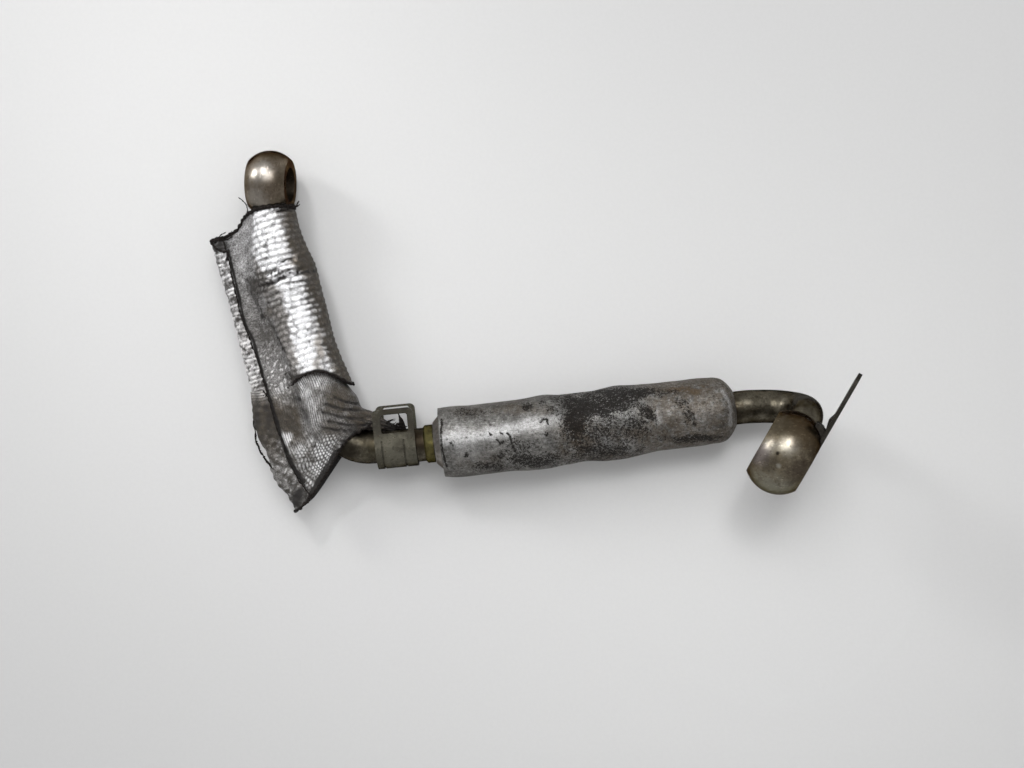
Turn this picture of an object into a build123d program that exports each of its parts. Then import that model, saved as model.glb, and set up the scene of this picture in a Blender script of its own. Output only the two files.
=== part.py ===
from build123d import *
import math
import os

# A turbo oil line lying flat, in millimetres. X runs along the hose end,
# Z points up, and the origin is the middle of the turbo ring's bolt bore.

# Pipes
pipe_od = 10.0
pipe_wall = 1.0
pipe_slip = 0.05
barb_height = 0.5
barb_length = 3.0
barb_pitch = 5.5
barb_count = 3
barb_inset = 0.5
cope_depth = 1.5

# Turbo ring
turbo_bore = 10.2
turbo_ring_od = 20.0
turbo_face_od = 15.0
turbo_ring_width = 12.0
turbo_axis = (0.994, -0.035, 0.098)
turbo_stem = (-0.035, -0.999, 0.0)
turbo_bend_at = 11.0

# Block ring
block_bore = 14.2
block_ring_od = 24.8
block_near_face_od = 19.4
block_far_face_od = 16.2
block_ring_width = 14.8
block_axis = (0.854, -0.489, 0.178)

# Oil port between each ring's bore and its pipe
port_diameter = 6.0

# Pipe routes
turbo_corner = (21.0, -79.3, 0.7)
turbo_corner_radius = 11.5
turbo_neck_radius = 12.0
run_kink = (44.9, -78.22, 0.9)
kink_radius = 20.0
elbow_run = 4.2
elbow_low_step = (20.035, 0.775, -3.4)
elbow_high_step = (19.635, -1.925, 12.8)
block_centre_step = (11.735, -12.525, 21.4)
elbow_radius = 9.0
elbow_entry_radius = 18.0

# Hose section, measured along its own axis from the foil sleeve's edge
hose_origin = (52.35, -77.35, 0.9)
hose_tilt = 6.65
hose_od = 19.2
hose_bore = 9.0
hose_end_gap = 1.0
hose_swell = 2.0
insert_length = 20.0
foil_length = 87.0
foil_wall = 0.35
foil_lip = 1.0
foil_overhang = 1.0
foil_mouth_radius = 10.3
foil_land_radius = 10.5
foil_bulge_radius = 11.2
foil_waist_radius = 10.05
foil_second_bulge_radius = 10.85
foil_tail_radius = 9.75
foil_land_at = 3.5
foil_dip_at = 16.0
foil_bulge_at = 30.5
foil_waist_at = 41.0
foil_second_bulge_to_end = 34.0
foil_slope_to_end = 21.0
foil_tail_to_end = 7.0
foil_shoulder_to_end = 3.0
foil_mouth_to_end = 0.8
foil_land_rise = 0.15
foil_dip = 0.1
foil_slope_rise = 0.25
foil_shoulder_drop = 0.55
foil_end_clearance = 0.25
foil_nose_clearance = 0.7

# Ferrules
ferrule_od = 18.6
ferrule_wall = 0.8
ferrule_length = 24.0
ferrule_nose = 3.0
ferrule_nose_od = 12.4
ferrule_shoulder = 1.4
crimp_depth = 0.35
crimp_width = 2.6
crimp_pitch = 6.0
crimp_count = 3
crimp_start = 0.6

# Stop collar
collar_od = 11.4
collar_length = 2.7
collar_gap = 0.3
collar_chamfer = 0.5

# Locating tab, measured from the ring's centre and in from its far face
tab_gauge = 1.1
tab_reach = 30.0
tab_width = 8.0
tab_arm = (0.455, 0.868, 0.201)
tab_foot_start = 7.4
tab_lug_width = 6.0
tab_lug_outline = [
    (7.6, -0.5),
    (16.4, -0.5),
    (16.4, -1.1),
    (14.7, -1.7),
    (14.1, -1.8),
    (11.2, -1.1),
    (11.9, -2.2),
    (12.3, -3.4),
    (12.1, -4.4),
    (10.4, -4.0),
]

# Heat cloth over the long arm
sleeve_origin = (0.92, -7.8, 0.0)
sleeve_heading = -74.34
cloth = 0.9
cloth_clearance = 0.3
sleeve_length = 57.6
sleeve_mouth_rise = 7.0
sleeve_top_radius = 7.5
sleeve_radius = 8.6
sleeve_cuff_radius = 8.9
sleeve_centre = -1.4
flange_reach = 20.7
flange_web = 11.5
flange_top_drop = 3.9
flange_end_to_cuff = 4.6
web_gauges = 2.2
mouth_at = (-0.8, 0.6)
cuff_margin = 1.0
cuff_arch_side = 2.0
loft_start = -3.0
loft_steps = (11.0, 20.0, 40.0)
loft_overrun = 2.4

# Heat cloth round the bend
fold_level = 0.4
neck_top_to_cuff = 14.6
neck_radius = 6.5
neck_swell = 0.5
gusset_half = 7.4
fan_web_share = 0.55
flap_half = 1.1
flap_web_half = 2.4
tail_length = 15.4
cloth_on_pipe = 0.5

# Each fold of the bend's cloth: pipe side, open edge, widest place, half height
fan_folds = [
    ((24.2, -58.6), (-5.9, -62.0), 10.0, gusset_half + 0.2),
    ((26.3, -66.2), (-4.8, -76.8), 9.6, gusset_half),
    ((28.2, -67.6), (3.0, -89.4), 9.6, gusset_half - 0.3),
    ((32.4, -68.2), (8.2, -97.9), 12.4, gusset_half - 0.8),
]

# The open hem of that cloth in plan, and how far the cut runs past its other sides
hem_points = [
    (30.2, -74.0),
    (25.0, -74.7),
    (21.8, -77.7),
    (19.9, -81.9),
    (13.7, -91.4),
    (10.1, -96.2),
    (7.9, -97.5),
]
hem_surround = [(-8.0, -84.0), (-8.0, -55.0), (24.0, -55.0), (30.2, -60.0)]

# The tail narrows from the bend into the clip: plan place, middle, half height, half depth
tail_folds = [
    (27.0, -70.5, 3.2, 4.4),
    (33.5, -70.9, 2.5, 3.0),
    (27.0 + tail_length, -72.1, 0.9, 0.9),
]

# Clip that closes the cloth
clip_gauge = 1.1
clip_slack = 0.4
clip_width = 12.0
clip_at = 17.0
clip_skew = 3.2
clip_front_height = 11.3
clip_rear_height = 12.3
clip_bar = 2.0
clip_window_shift = 0.3
clip_top_bar = 1.7
clip_rear_top_bar = 0.7
clip_window_foot = 4.1
clip_corner = 1.6
clip_window_corner = 0.7
clip_creases = (-3.9, 2.6)
crease_width = 0.6
crease_depth = 0.3

# Values that follow from those above
pipe_radius = pipe_od / 2
pipe_bore_radius = pipe_radius - pipe_wall
barb_radius = pipe_radius + barb_height
hose_x = Vector(1, 0, 0).rotate(Axis.Z, hose_tilt)
hose_place = Plane(origin=hose_origin, x_dir=hose_x, z_dir=(0, 0, 1))
hose_axis = Axis(hose_origin, hose_x)
turbo_centre = Vector(0, 0, 0)
flange_end = sleeve_length - flange_end_to_cuff
neck_top = sleeve_length - neck_top_to_cuff
neck_end = sleeve_length + loft_overrun


def along_hose(distance):
    return Vector(*hose_origin) + hose_x * distance


def unit(direction):
    return Vector(*direction).normalized()


def ring_place(centre, axis):
    sideways = unit(axis).cross(Vector(0, 0, 1)).normalized()
    return Plane(origin=centre, x_dir=unit(axis), z_dir=unit(axis).cross(sideways))


def ring_fitting(centre, axis, stem, bore, od, near_od, far_od, width):
    """A barrel-shaped ring turned round its bolt bore, with its oil port."""
    place = ring_place(centre, axis)
    with BuildPart() as ring:
        with BuildSketch(place):
            with BuildLine():
                crown = ThreePointArc((-width / 2, near_od / 2), (0, od / 2), (width / 2, far_od / 2))
                Polyline(crown @ 1, (width / 2, bore / 2), (-width / 2, bore / 2), crown @ 0)
            make_face()
        revolve(axis=Axis(centre, unit(axis)))
        with BuildSketch(Plane(origin=centre, z_dir=stem)):
            Circle(port_diameter / 2)
        extrude(amount=od, mode=Mode.SUBTRACT)
    return ring


def swept_round(points, radii, radius):
    """A round bar swept along straight runs joined by tangent bends."""
    with BuildPart() as bar:
        with BuildLine() as route:
            FilletPolyline(*points, radius=radii)
        with BuildSketch(Plane(origin=route.line @ 0, z_dir=route.line % 0)):
            Circle(radius)
        sweep()
    return bar


def barbs(first, step):
    """Saw-tooth rings that grip the hose, turned round the hose axis."""
    with BuildPart() as rings:
        for index in range(barb_count):
            start = first + index * step * barb_pitch
            with BuildSketch(hose_place):
                with BuildLine():
                    Polyline(
                        (start, pipe_radius - barb_height),
                        (start, barb_radius),
                        (start + step * barb_length, pipe_radius - barb_height),
                        close=True,
                    )
                make_face()
            revolve(axis=hose_axis)
    return rings


# Turbo ring
turbo_banjo = ring_fitting(
    turbo_centre,
    turbo_axis,
    unit(turbo_stem),
    turbo_bore,
    turbo_ring_od,
    turbo_face_od,
    turbo_face_od,
    turbo_ring_width,
)
turbo_banjo.part.label = "turbo_banjo"

# Turbo pipe, coped onto its ring and barbed inside the hose
turbo_start = turbo_centre + unit(turbo_stem) * (turbo_bore / 2 + cope_depth)
turbo_route = [
    turbo_start,
    turbo_centre + unit(turbo_stem) * turbo_bend_at,
    Vector(*turbo_corner),
    Vector(*run_kink),
    along_hose(insert_length),
]
turbo_radii = [turbo_neck_radius, turbo_corner_radius, kink_radius]
turbo_pipe = swept_round(turbo_route, turbo_radii, pipe_radius)
turbo_pipe_bore = swept_round(turbo_route, turbo_radii, pipe_bore_radius)
turbo_barbs = barbs(insert_length - barb_inset, -1)
with turbo_pipe:
    add(turbo_barbs.part)
    add(turbo_pipe_bore.part, mode=Mode.SUBTRACT)
    add(turbo_banjo.part, mode=Mode.SUBTRACT)
turbo_pipe.part.label = "turbo_pipe"

# Block ring, set out from the hose's end
hose_end = along_hose(foil_length)
elbow_low = hose_end + Vector(*elbow_low_step)
elbow_high = hose_end + Vector(*elbow_high_step)
block_centre = hose_end + Vector(*block_centre_step)
elbow_way = (elbow_high - block_centre).normalized()
block_banjo = ring_fitting(
    block_centre,
    block_axis,
    elbow_way,
    block_bore,
    block_ring_od,
    block_near_face_od,
    block_far_face_od,
    block_ring_width,
)

# Locating tab: a stamped arm let into a notch of the ring's far face
far_face = block_centre + unit(block_axis) * block_ring_width / 2
tab_place = Plane(origin=far_face, x_dir=unit(tab_arm), z_dir=unit(block_axis))
tab_side = Plane(origin=far_face, x_dir=unit(tab_arm), z_dir=unit(tab_arm).cross(unit(block_axis)))
tab_middle = (tab_foot_start + tab_reach) / 2
with BuildPart() as locating_tab:
    with BuildSketch(tab_place):
        with Locations((tab_middle - tab_width / 4, 0)):
            SlotOverall(tab_reach - tab_foot_start + tab_width / 2, tab_width)
        with Locations((0, 0)):
            Circle(tab_foot_start, mode=Mode.SUBTRACT)
    extrude(amount=-tab_gauge)
    with BuildSketch(tab_side):
        with BuildLine():
            Polyline(*tab_lug_outline, close=True)
        make_face()
    extrude(amount=tab_lug_width / 2, both=True)
locating_tab.part.label = "locating_tab"

with block_banjo:
    add(locating_tab.part, mode=Mode.SUBTRACT)
block_banjo.part.label = "block_banjo"

# Block pipe, from the hose round the elbow to its ring
block_insert = foil_length - insert_length
block_route = [
    along_hose(block_insert),
    along_hose(foil_length + elbow_run),
    elbow_low,
    elbow_high,
    block_centre + elbow_way * (block_bore / 2 + cope_depth),
]
block_radii = [elbow_entry_radius, elbow_radius, elbow_radius]
block_pipe = swept_round(block_route, block_radii, pipe_radius)
block_pipe_bore = swept_round(block_route, block_radii, pipe_bore_radius)
block_barbs = barbs(block_insert + barb_inset, 1)
with block_pipe:
    add(block_barbs.part)
    add(block_pipe_bore.part, mode=Mode.SUBTRACT)
    add(block_banjo.part, mode=Mode.SUBTRACT)
block_pipe.part.label = "block_pipe"

# Stop collar on the turbo pipe
collar_end = -ferrule_nose - collar_gap
with BuildPart() as turbo_collar:
    with BuildSketch(hose_place):
        with BuildLine():
            Polyline(
                (collar_end - collar_length, pipe_radius + pipe_slip),
                (collar_end - collar_length, collar_od / 2 - collar_chamfer),
                (collar_end - collar_length + collar_chamfer, collar_od / 2),
                (collar_end, collar_od / 2),
                (collar_end, pipe_radius + pipe_slip),
                close=True,
            )
        make_face()
    revolve(axis=hose_axis)
turbo_collar.part.label = "turbo_collar"


def ferrule(base, way):
    """A crimped shell: nose on the pipe, rounded shoulder, barrel on the hose."""
    outer = ferrule_od / 2
    inner = outer - ferrule_wall
    with BuildPart() as shell:
        with BuildSketch(hose_place):
            with BuildLine():
                Polyline(
                    (base - way * ferrule_nose, pipe_radius + pipe_slip),
                    (base - way * ferrule_nose, ferrule_nose_od / 2),
                    (base - way * ferrule_shoulder / 2, outer - ferrule_shoulder / 2),
                    (base + way * ferrule_shoulder / 2, outer),
                    (base + way * ferrule_length, outer),
                    (base + way * ferrule_length, inner),
                    (base + way * ferrule_shoulder, inner),
                    (base + way * ferrule_shoulder, pipe_radius + pipe_slip),
                    close=True,
                )
            make_face()
        revolve(axis=hose_axis)
        for index in range(crimp_count):
            middle = base + way * (ferrule_length - (index + crimp_start) * crimp_pitch)
            with BuildSketch(hose_place):
                with Locations((middle, inner)):
                    Rectangle(crimp_width, 2 * crimp_depth)
            revolve(axis=hose_axis)
            with BuildSketch(hose_place):
                with Locations((middle, outer)):
                    Rectangle(crimp_width, 2 * crimp_depth)
            revolve(axis=hose_axis, mode=Mode.SUBTRACT)
    return shell


turbo_ferrule = ferrule(0.0, 1)
turbo_ferrule.part.label = "turbo_ferrule"

block_ferrule_base = foil_length - ferrule_nose - foil_overhang
block_ferrule = ferrule(block_ferrule_base, -1)
block_ferrule.part.label = "block_ferrule"

# Rubber hose, squeezed in both shells and opened out over the barbs
hose_start = ferrule_shoulder + hose_end_gap
hose_finish = block_ferrule_base - hose_start
squeezed_radius = ferrule_od / 2 - ferrule_wall - crimp_depth - pipe_slip
gripped_radius = barb_radius + pipe_slip
with BuildPart() as hose:
    with BuildSketch(hose_place):
        with BuildLine():
            Polyline(
                (hose_start, gripped_radius),
                (hose_start, squeezed_radius),
                (ferrule_length, squeezed_radius),
                (ferrule_length + hose_swell, hose_od / 2),
                (block_ferrule_base - ferrule_length - hose_swell, hose_od / 2),
                (block_ferrule_base - ferrule_length, squeezed_radius),
                (hose_finish, squeezed_radius),
                (hose_finish, gripped_radius),
                (block_insert - hose_end_gap, gripped_radius),
                (block_insert - hose_end_gap - hose_swell, hose_bore / 2),
                (insert_length + hose_end_gap + hose_swell, hose_bore / 2),
                (insert_length + hose_end_gap, gripped_radius),
                close=True,
            )
        make_face()
    revolve(axis=hose_axis)
hose.part.label = "hose"

# Aluminium foil sleeve: hugs the shells, bulges over the hose and closes on the pipe
foil_stations = [
    (-foil_lip, foil_mouth_radius),
    (foil_land_at, foil_land_radius + foil_land_rise),
    (foil_dip_at, foil_land_radius - foil_dip),
    (foil_bulge_at, foil_bulge_radius),
    (foil_waist_at, foil_waist_radius),
    (foil_length - foil_second_bulge_to_end, foil_second_bulge_radius),
    (foil_length - foil_slope_to_end, foil_tail_radius + foil_slope_rise),
    (foil_length - foil_tail_to_end, foil_tail_radius),
    (foil_length - foil_shoulder_to_end, foil_tail_radius - foil_shoulder_drop),
    (foil_length - foil_mouth_to_end, ferrule_nose_od / 2 + foil_nose_clearance),
    (foil_length, pipe_radius + foil_wall + foil_end_clearance),
]
with BuildPart() as foil_sleeve:
    with BuildSketch(hose_place):
        with BuildLine():
            outside = Spline(foil_stations)
            inside = Spline([(place, radius - foil_wall) for place, radius in foil_stations])
            Line(outside @ 0, inside @ 0)
            Line(outside @ 1, inside @ 1)
        make_face()
    revolve(axis=hose_axis)
foil_sleeve.part.label = "foil_sleeve"

# Frame of the long arm's cloth: X runs down the arm, Y to the inside of the bend
arm_x = Vector(1, 0, 0).rotate(Axis.Z, sleeve_heading)
arm_place = Plane(origin=sleeve_origin, x_dir=arm_x, z_dir=(0, 0, 1))


def across_arm(distance):
    """The plane across the arm, with X to the inside of the bend and Y up."""
    return Plane(origin=Vector(*sleeve_origin) + arm_x * distance, x_dir=arm_place.y_dir, z_dir=arm_x * -1)


def folded_cloth(place, nose, belly, half, web, web_half, edge, edge_half):
    """A closed fold of cloth: round over the pipe, then a web and a flat flange."""
    shoulder = belly + (nose - belly) * math.sin(math.pi / 4)
    rise = half * math.sin(math.pi / 4)
    outward = math.copysign(1, edge - nose)
    with BuildSketch(place) as fold:
        with BuildLine():
            over = Spline(
                (nose, 0),
                (shoulder, rise),
                (belly, half),
                (web, web_half),
                (edge, edge_half),
                tangents=((0, 1), (outward, 0)),
            )
            under = Spline(
                (nose, 0),
                (shoulder, -rise),
                (belly, -half),
                (web, -web_half),
                (edge, -edge_half),
                tangents=((0, -1), (outward, 0)),
            )
            Line(over @ 1, under @ 1)
        make_face()
    return fold.sketch


# Heat cloth over the long arm: folded round the pipe, with one joined flange
sleeve_stations = [
    (loft_start, sleeve_top_radius),
    (loft_steps[0], sleeve_top_radius),
    (loft_steps[1], sleeve_radius),
    (loft_steps[2], sleeve_radius),
    (neck_end, sleeve_cuff_radius),
]


def cuff_plan(shift):
    """The long arm's cloth in plan, from its slanting top to its arched cuff."""
    outer = sleeve_centre + sleeve_cuff_radius + cuff_margin
    open_edge = -flange_reach - cuff_margin
    with BuildSketch(arm_place.offset(-2 * sleeve_radius)) as plan:
        with BuildLine():
            cuff = Spline(
                (sleeve_length + shift, outer),
                (sleeve_length - sleeve_mouth_rise + shift, sleeve_centre + cuff_arch_side),
                (flange_end + shift, -flange_web),
            )
            Polyline(
                cuff @ 1,
                (flange_end + shift, open_edge),
                (flange_top_drop, open_edge),
                (flange_top_drop, -flange_reach),
                (mouth_at[0], -sleeve_top_radius),
                (mouth_at[1], sleeve_top_radius),
                (mouth_at[1], outer),
                cuff @ 0,
            )
        make_face()
    return plan.sketch


with BuildPart() as upper_sleeve:
    loft(
        [
            folded_cloth(
                across_arm(station),
                sleeve_centre + radius,
                sleeve_centre,
                radius,
                -flange_web,
                cloth * web_gauges,
                -flange_reach,
                cloth,
            )
            for station, radius in sleeve_stations
        ]
    )
    for station, radius in sleeve_stations:
        with BuildSketch(across_arm(station)):
            with Locations((sleeve_centre, 0)):
                Circle(radius - cloth)
    loft(mode=Mode.SUBTRACT)
    extrude(cuff_plan(0.0), amount=4 * sleeve_radius, dir=(0, 0, 1), mode=Mode.INTERSECT)
    with Locations(turbo_centre):
        Sphere(turbo_ring_od / 2 + cloth_clearance, mode=Mode.SUBTRACT)
upper_sleeve.part.label = "upper_sleeve"

def fold_place(nose, edge):
    """The upright plane through two plan points, with X pointing to the edge."""
    way = Vector(edge[0] - nose[0], edge[1] - nose[1], 0).normalized()
    return Plane(origin=(nose[0], nose[1], fold_level), x_dir=way, z_dir=way.cross(Vector(0, 0, 1)))


# Heat cloth round the bend: a fan of folds from the neck to the open hem
cloth_passage = swept_round(turbo_route, turbo_radii, pipe_radius + cloth_on_pipe)

with BuildPart() as lower_sleeve:
    folds = []
    for nose, edge, belly, half in fan_folds:
        length = math.dist(nose, edge)
        web = belly + fan_web_share * (length - belly)
        folds.append(folded_cloth(fold_place(nose, edge), 0, belly, half, web, flap_web_half, length, flap_half))
    loft(folds)
    with BuildSketch(Plane.XY.offset(-gusset_half - 1)):
        with BuildLine():
            hem = Spline(*hem_points)
            Polyline(hem @ 1, *hem_surround, hem @ 0)
        make_face()
    extrude(amount=2 * gusset_half + 2, mode=Mode.INTERSECT)
    extrude(cuff_plan(cloth_clearance), amount=4 * sleeve_radius, dir=(0, 0, 1), mode=Mode.SUBTRACT)
    for station, radius in [(neck_top, neck_radius), (neck_end, neck_radius + neck_swell)]:
        with BuildSketch(across_arm(station)):
            with Locations((sleeve_centre, 0)):
                Circle(radius)
    loft()
    for place, middle, tall, deep in tail_folds:
        with BuildSketch(Plane(origin=(place, middle, fold_level), x_dir=(0, 1, 0), z_dir=(1, 0, 0))):
            Ellipse(tall, deep)
    loft()
    add(cloth_passage.part, mode=Mode.SUBTRACT)
lower_sleeve.part.label = "lower_sleeve"

# Clip: one strip folded round the pipe, with a window in each upright ear
run_way = (Vector(*run_kink) - Vector(*turbo_corner)).normalized()
clip_x = Vector(run_way.X, run_way.Y, 0).normalized().rotate(Axis.Z, clip_skew)
clip_origin = Vector(*turbo_corner) + run_way * clip_at
clip_place = Plane(origin=clip_origin, x_dir=clip_x, z_dir=(0, 0, 1))
clip_section = Plane(origin=clip_origin, x_dir=clip_place.y_dir, z_dir=clip_x)
clip_inner = pipe_radius + clip_slack
clip_outer = clip_inner + clip_gauge


def clip_window(height, top_bar):
    """The plan of one ear's window, between its side bars and its top bar."""
    with BuildSketch(clip_place) as window:
        with Locations((clip_window_shift, (clip_window_foot + height - top_bar) / 2)):
            RectangleRounded(
                clip_width - 2 * clip_bar,
                height - top_bar - clip_window_foot,
                clip_window_corner,
            )
    return window.sketch


with BuildPart() as sleeve_clip:
    with BuildSketch(clip_section):
        with BuildLine():
            outer = CenterArc((0, 0), clip_outer, 90, 180)
            inner = CenterArc((0, 0), clip_inner, 90, 180)
            Polyline(outer @ 0, (clip_front_height, clip_outer), (clip_front_height, clip_inner), inner @ 0)
            Polyline(outer @ 1, (clip_rear_height, -clip_outer), (clip_rear_height, -clip_inner), inner @ 1)
        make_face()
    extrude(amount=clip_width / 2, both=True)
    for height in (clip_front_height, clip_rear_height):
        corners = sleeve_clip.edges().filter_by(Axis.Z)
        corners = corners.filter_by(lambda edge: abs(clip_place.to_local_coords(edge.center()).Y - height) < 0.01)
        fillet(corners, clip_corner)
    extrude(clip_window(clip_front_height, clip_top_bar), amount=2 * clip_outer, dir=(0, 0, 1), mode=Mode.SUBTRACT)
    extrude(clip_window(clip_rear_height, clip_rear_top_bar), amount=2 * clip_outer, dir=(0, 0, -1), mode=Mode.SUBTRACT)
    for place in clip_creases:
        with BuildSketch(clip_section.offset(place - crease_width / 2)):
            Circle(clip_outer + crease_depth)
            Circle(clip_outer - crease_depth, mode=Mode.SUBTRACT)
        extrude(amount=crease_width, mode=Mode.SUBTRACT)
sleeve_clip.part.label = "sleeve_clip"

nodes = [
    turbo_banjo,
    turbo_pipe,
    turbo_collar,
    turbo_ferrule,
    hose,
    block_ferrule,
    foil_sleeve,
    block_pipe,
    block_banjo,
    locating_tab,
    upper_sleeve,
    lower_sleeve,
    sleeve_clip,
]
os.makedirs("parts", exist_ok=True)
for node in nodes:
    export_step(node.part, "parts/" + node.part.label + ".step")
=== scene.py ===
import math

import bpy
import numpy as np
from bpy.props import FloatProperty, FloatVectorProperty, PointerProperty
from bpy.types import Operator, Panel, PropertyGroup
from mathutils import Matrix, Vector


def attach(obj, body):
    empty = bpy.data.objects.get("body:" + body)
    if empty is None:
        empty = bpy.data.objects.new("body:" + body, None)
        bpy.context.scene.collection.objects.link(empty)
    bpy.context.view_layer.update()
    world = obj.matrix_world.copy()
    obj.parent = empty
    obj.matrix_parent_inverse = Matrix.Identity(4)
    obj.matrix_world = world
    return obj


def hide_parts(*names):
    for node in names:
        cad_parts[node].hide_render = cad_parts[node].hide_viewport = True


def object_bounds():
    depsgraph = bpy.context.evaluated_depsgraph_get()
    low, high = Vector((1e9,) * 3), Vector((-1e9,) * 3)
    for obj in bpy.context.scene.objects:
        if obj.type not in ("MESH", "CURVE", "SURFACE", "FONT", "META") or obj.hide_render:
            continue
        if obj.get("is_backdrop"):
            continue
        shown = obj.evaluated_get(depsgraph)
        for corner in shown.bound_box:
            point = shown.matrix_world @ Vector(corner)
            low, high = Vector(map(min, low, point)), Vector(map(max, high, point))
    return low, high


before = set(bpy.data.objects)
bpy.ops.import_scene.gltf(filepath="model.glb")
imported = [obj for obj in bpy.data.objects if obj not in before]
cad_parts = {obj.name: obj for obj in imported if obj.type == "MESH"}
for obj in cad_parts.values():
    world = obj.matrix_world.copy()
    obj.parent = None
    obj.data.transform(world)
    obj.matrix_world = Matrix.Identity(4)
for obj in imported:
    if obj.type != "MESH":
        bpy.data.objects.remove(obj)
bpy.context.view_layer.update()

bl_info = {
    "name": "Turbo oil line dressing",
    "version": (1, 0, 0),
    "blender": (4, 5, 0),
    "location": "3D View > Sidebar > Oil line",
    "description": "Dresses a turbo oil line in its metals, foil and heat cloth",
    "category": "Object",
}

BODY = "root"
MM = 0.001

# Hose axis, in millimetres
HOSE_ORIGIN = np.array([52.35, -77.35, 0.9])
HOSE_TILT = math.radians(6.65)
HOSE_RADIUS = 9.6
HOSE_WAY = np.array([math.cos(HOSE_TILT), math.sin(HOSE_TILT), 0.0])
HOSE_SIDE = np.array([-math.sin(HOSE_TILT), math.cos(HOSE_TILT), 0.0])

# Long arm: down the arm, and across it to the inside of the bend
ARM_ORIGIN = np.array([0.92, -7.8, 0.0])
ARM_TILT = math.radians(-74.34)
ARM_WAY = np.array([math.cos(ARM_TILT), math.sin(ARM_TILT), 0.0])
ARM_SIDE = np.array([-math.sin(ARM_TILT), math.cos(ARM_TILT), 0.0])
UP = np.array([0.0, 0.0, 1.0])

# The height at which the cloth round the bend folds
FOLD_LEVEL = 0.4

# The picture's frame: the eye above the floor, and what one pixel covers on the floor
EYE = np.array([72.45, -60.0])
EYE_HEIGHT = 427.2
FLOOR_LEVEL = 0.5
PICTURE_MIDDLE = np.array([511.5, 383.5])
PIXEL = 0.3

# What the finishes read at each vertex: their marks, which hold painted highlights and painted shade as well
# as stains, and the run across the yarn
MARKS_AND_PAINTED_LIGHT, YARN_RUN = "marks_and_painted_light", "yarn_run"
INNER_STEP = 4  # the inner face of a sheet has one point for this many outside
CUT_SHADE = (0.03, 0.026, 0.022)  # dirt in the specks of the cloth
RUST = (0.045, 0.026, 0.014)
# Scorched black, also laid on the cloth as painted shade in its creases and hollows
SCORCH_AND_SHADE_BLACK = (0.010, 0.008, 0.007)


# Mesh helpers, which work in millimetres


def smooth(low, high, value):
    """A soft step from 0 at low to 1 at high."""
    share = np.clip((np.asarray(value, float) - low) / (high - low), 0, 1)
    return share * share * (3 - 2 * share)


def bump(centre, half, value):
    """A soft hill, 1 at centre and 0 beyond half."""
    share = np.clip(np.abs(np.asarray(value, float) - centre) / half, 0, 1)
    return (1 - share * share) ** 2


def ripple(points, size, seed, waves=9):
    """Smooth seeded unevenness from -1 to 1, with features of about that size."""
    draw = np.random.default_rng(seed)
    total = np.zeros(points.shape[:-1])
    for _ in range(waves):
        way = draw.normal(size=3)
        way *= draw.uniform(0.7, 1.5) * math.tau / size / 1.6 / np.linalg.norm(way)
        total += np.sin(points @ way + draw.uniform(0, math.tau))
    return total / math.sqrt(waves) / 1.4


def along_stations(stations, value):
    """A soft curve through (place, size) stations."""
    places, sizes = np.array(stations, float).T
    value = np.asarray(value, float)
    steps = np.diff(places)
    slopes = np.gradient(sizes, places)
    index = np.clip(np.searchsorted(places, value) - 1, 0, len(steps) - 1)
    share = np.clip((value - places[index]) / steps[index], 0, 1)
    return hermite(
        sizes[index],
        sizes[index + 1],
        slopes[index] * steps[index],
        slopes[index + 1] * steps[index],
        share,
    )


def hermite(start, end, start_slope, end_slope, share):
    """A cubic from start to end that leaves and arrives at the given slopes."""
    square, cube = share * share, share * share * share
    return (
        (2 * cube - 3 * square + 1) * start
        + (cube - 2 * square + share) * start_slope
        + (3 * square - 2 * cube) * end
        + (cube - square) * end_slope
    )


def spline(points, places):
    """Points on a soft curve through points[k], at places counted in points."""
    points = np.asarray(points, float)
    steps = np.linalg.norm(np.diff(points, axis=0), axis=-1, keepdims=True) ** 0.75 + 1e-6
    chords = np.diff(points, axis=0) / steps
    inner = (chords[1:] * steps[:-1] + chords[:-1] * steps[1:]) / (steps[1:] + steps[:-1])
    slopes = np.concatenate([chords[:1], inner, chords[-1:]])
    places = np.asarray(places, float)
    index = np.clip(np.floor(places).astype(int), 0, len(points) - 2)
    share = (places - index).reshape((-1,) + (1,) * (points.ndim - 1))
    return hermite(
        points[index],
        points[index + 1],
        slopes[index] * steps[index],
        slopes[index + 1] * steps[index],
        share,
    )


def spread_over(lengths, count):
    """Places along a run of segments, so that count steps are even in length."""
    run = np.concatenate([[0], np.cumsum(lengths)])
    across = np.linspace(0, run[-1], count)
    return np.interp(across, run, np.arange(len(run))), across


def cage_surface(cage, rows, columns):
    """A soft surface through a cage of cloth lines, with the run across of each column."""
    cage = np.asarray(cage, float)
    lines = spline(cage, np.linspace(0, len(cage) - 1, rows))
    lengths = np.linalg.norm(np.diff(cage, axis=1), axis=2).mean(axis=0)
    places, across = spread_over(lengths, columns)
    surface = spline(lines.transpose(1, 0, 2), places).transpose(1, 0, 2)
    return surface, places, across


def normals_of(surface):
    """The unit normal at each point of a grid."""
    down = np.gradient(surface, axis=0)
    over = np.gradient(surface, axis=1)
    normals = np.cross(over, down)
    return normals / (np.linalg.norm(normals, axis=2, keepdims=True) + 1e-9)


def object_from(name, vertices, faces, material, smooth_faces=None):
    """An object from vertices in millimetres, smooth unless each face's flag is given."""
    mesh = bpy.data.meshes.new(name)
    mesh.from_pydata((np.asarray(vertices) * MM).tolist(), [], faces)
    mesh.polygons.foreach_set(
        "use_smooth", [True] * len(mesh.polygons) if smooth_faces is None else smooth_faces
    )
    mesh.materials.append(material)
    mesh.update()
    made = bpy.data.objects.new(name, mesh)
    bpy.context.scene.collection.objects.link(made)
    return made


def rim_faces(edge, far, turned):
    """The cut edge: many-sided faces from a fine outer line to a plain inner one."""
    faces = []
    for index in range(len(far) - 1):
        start = index * INNER_STEP
        ring = [*edge[start : start + INNER_STEP + 1].tolist(), far[index + 1], far[index]]
        faces.append([int(v) for v in (ring[::-1] if turned else ring)])
    return faces


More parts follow.
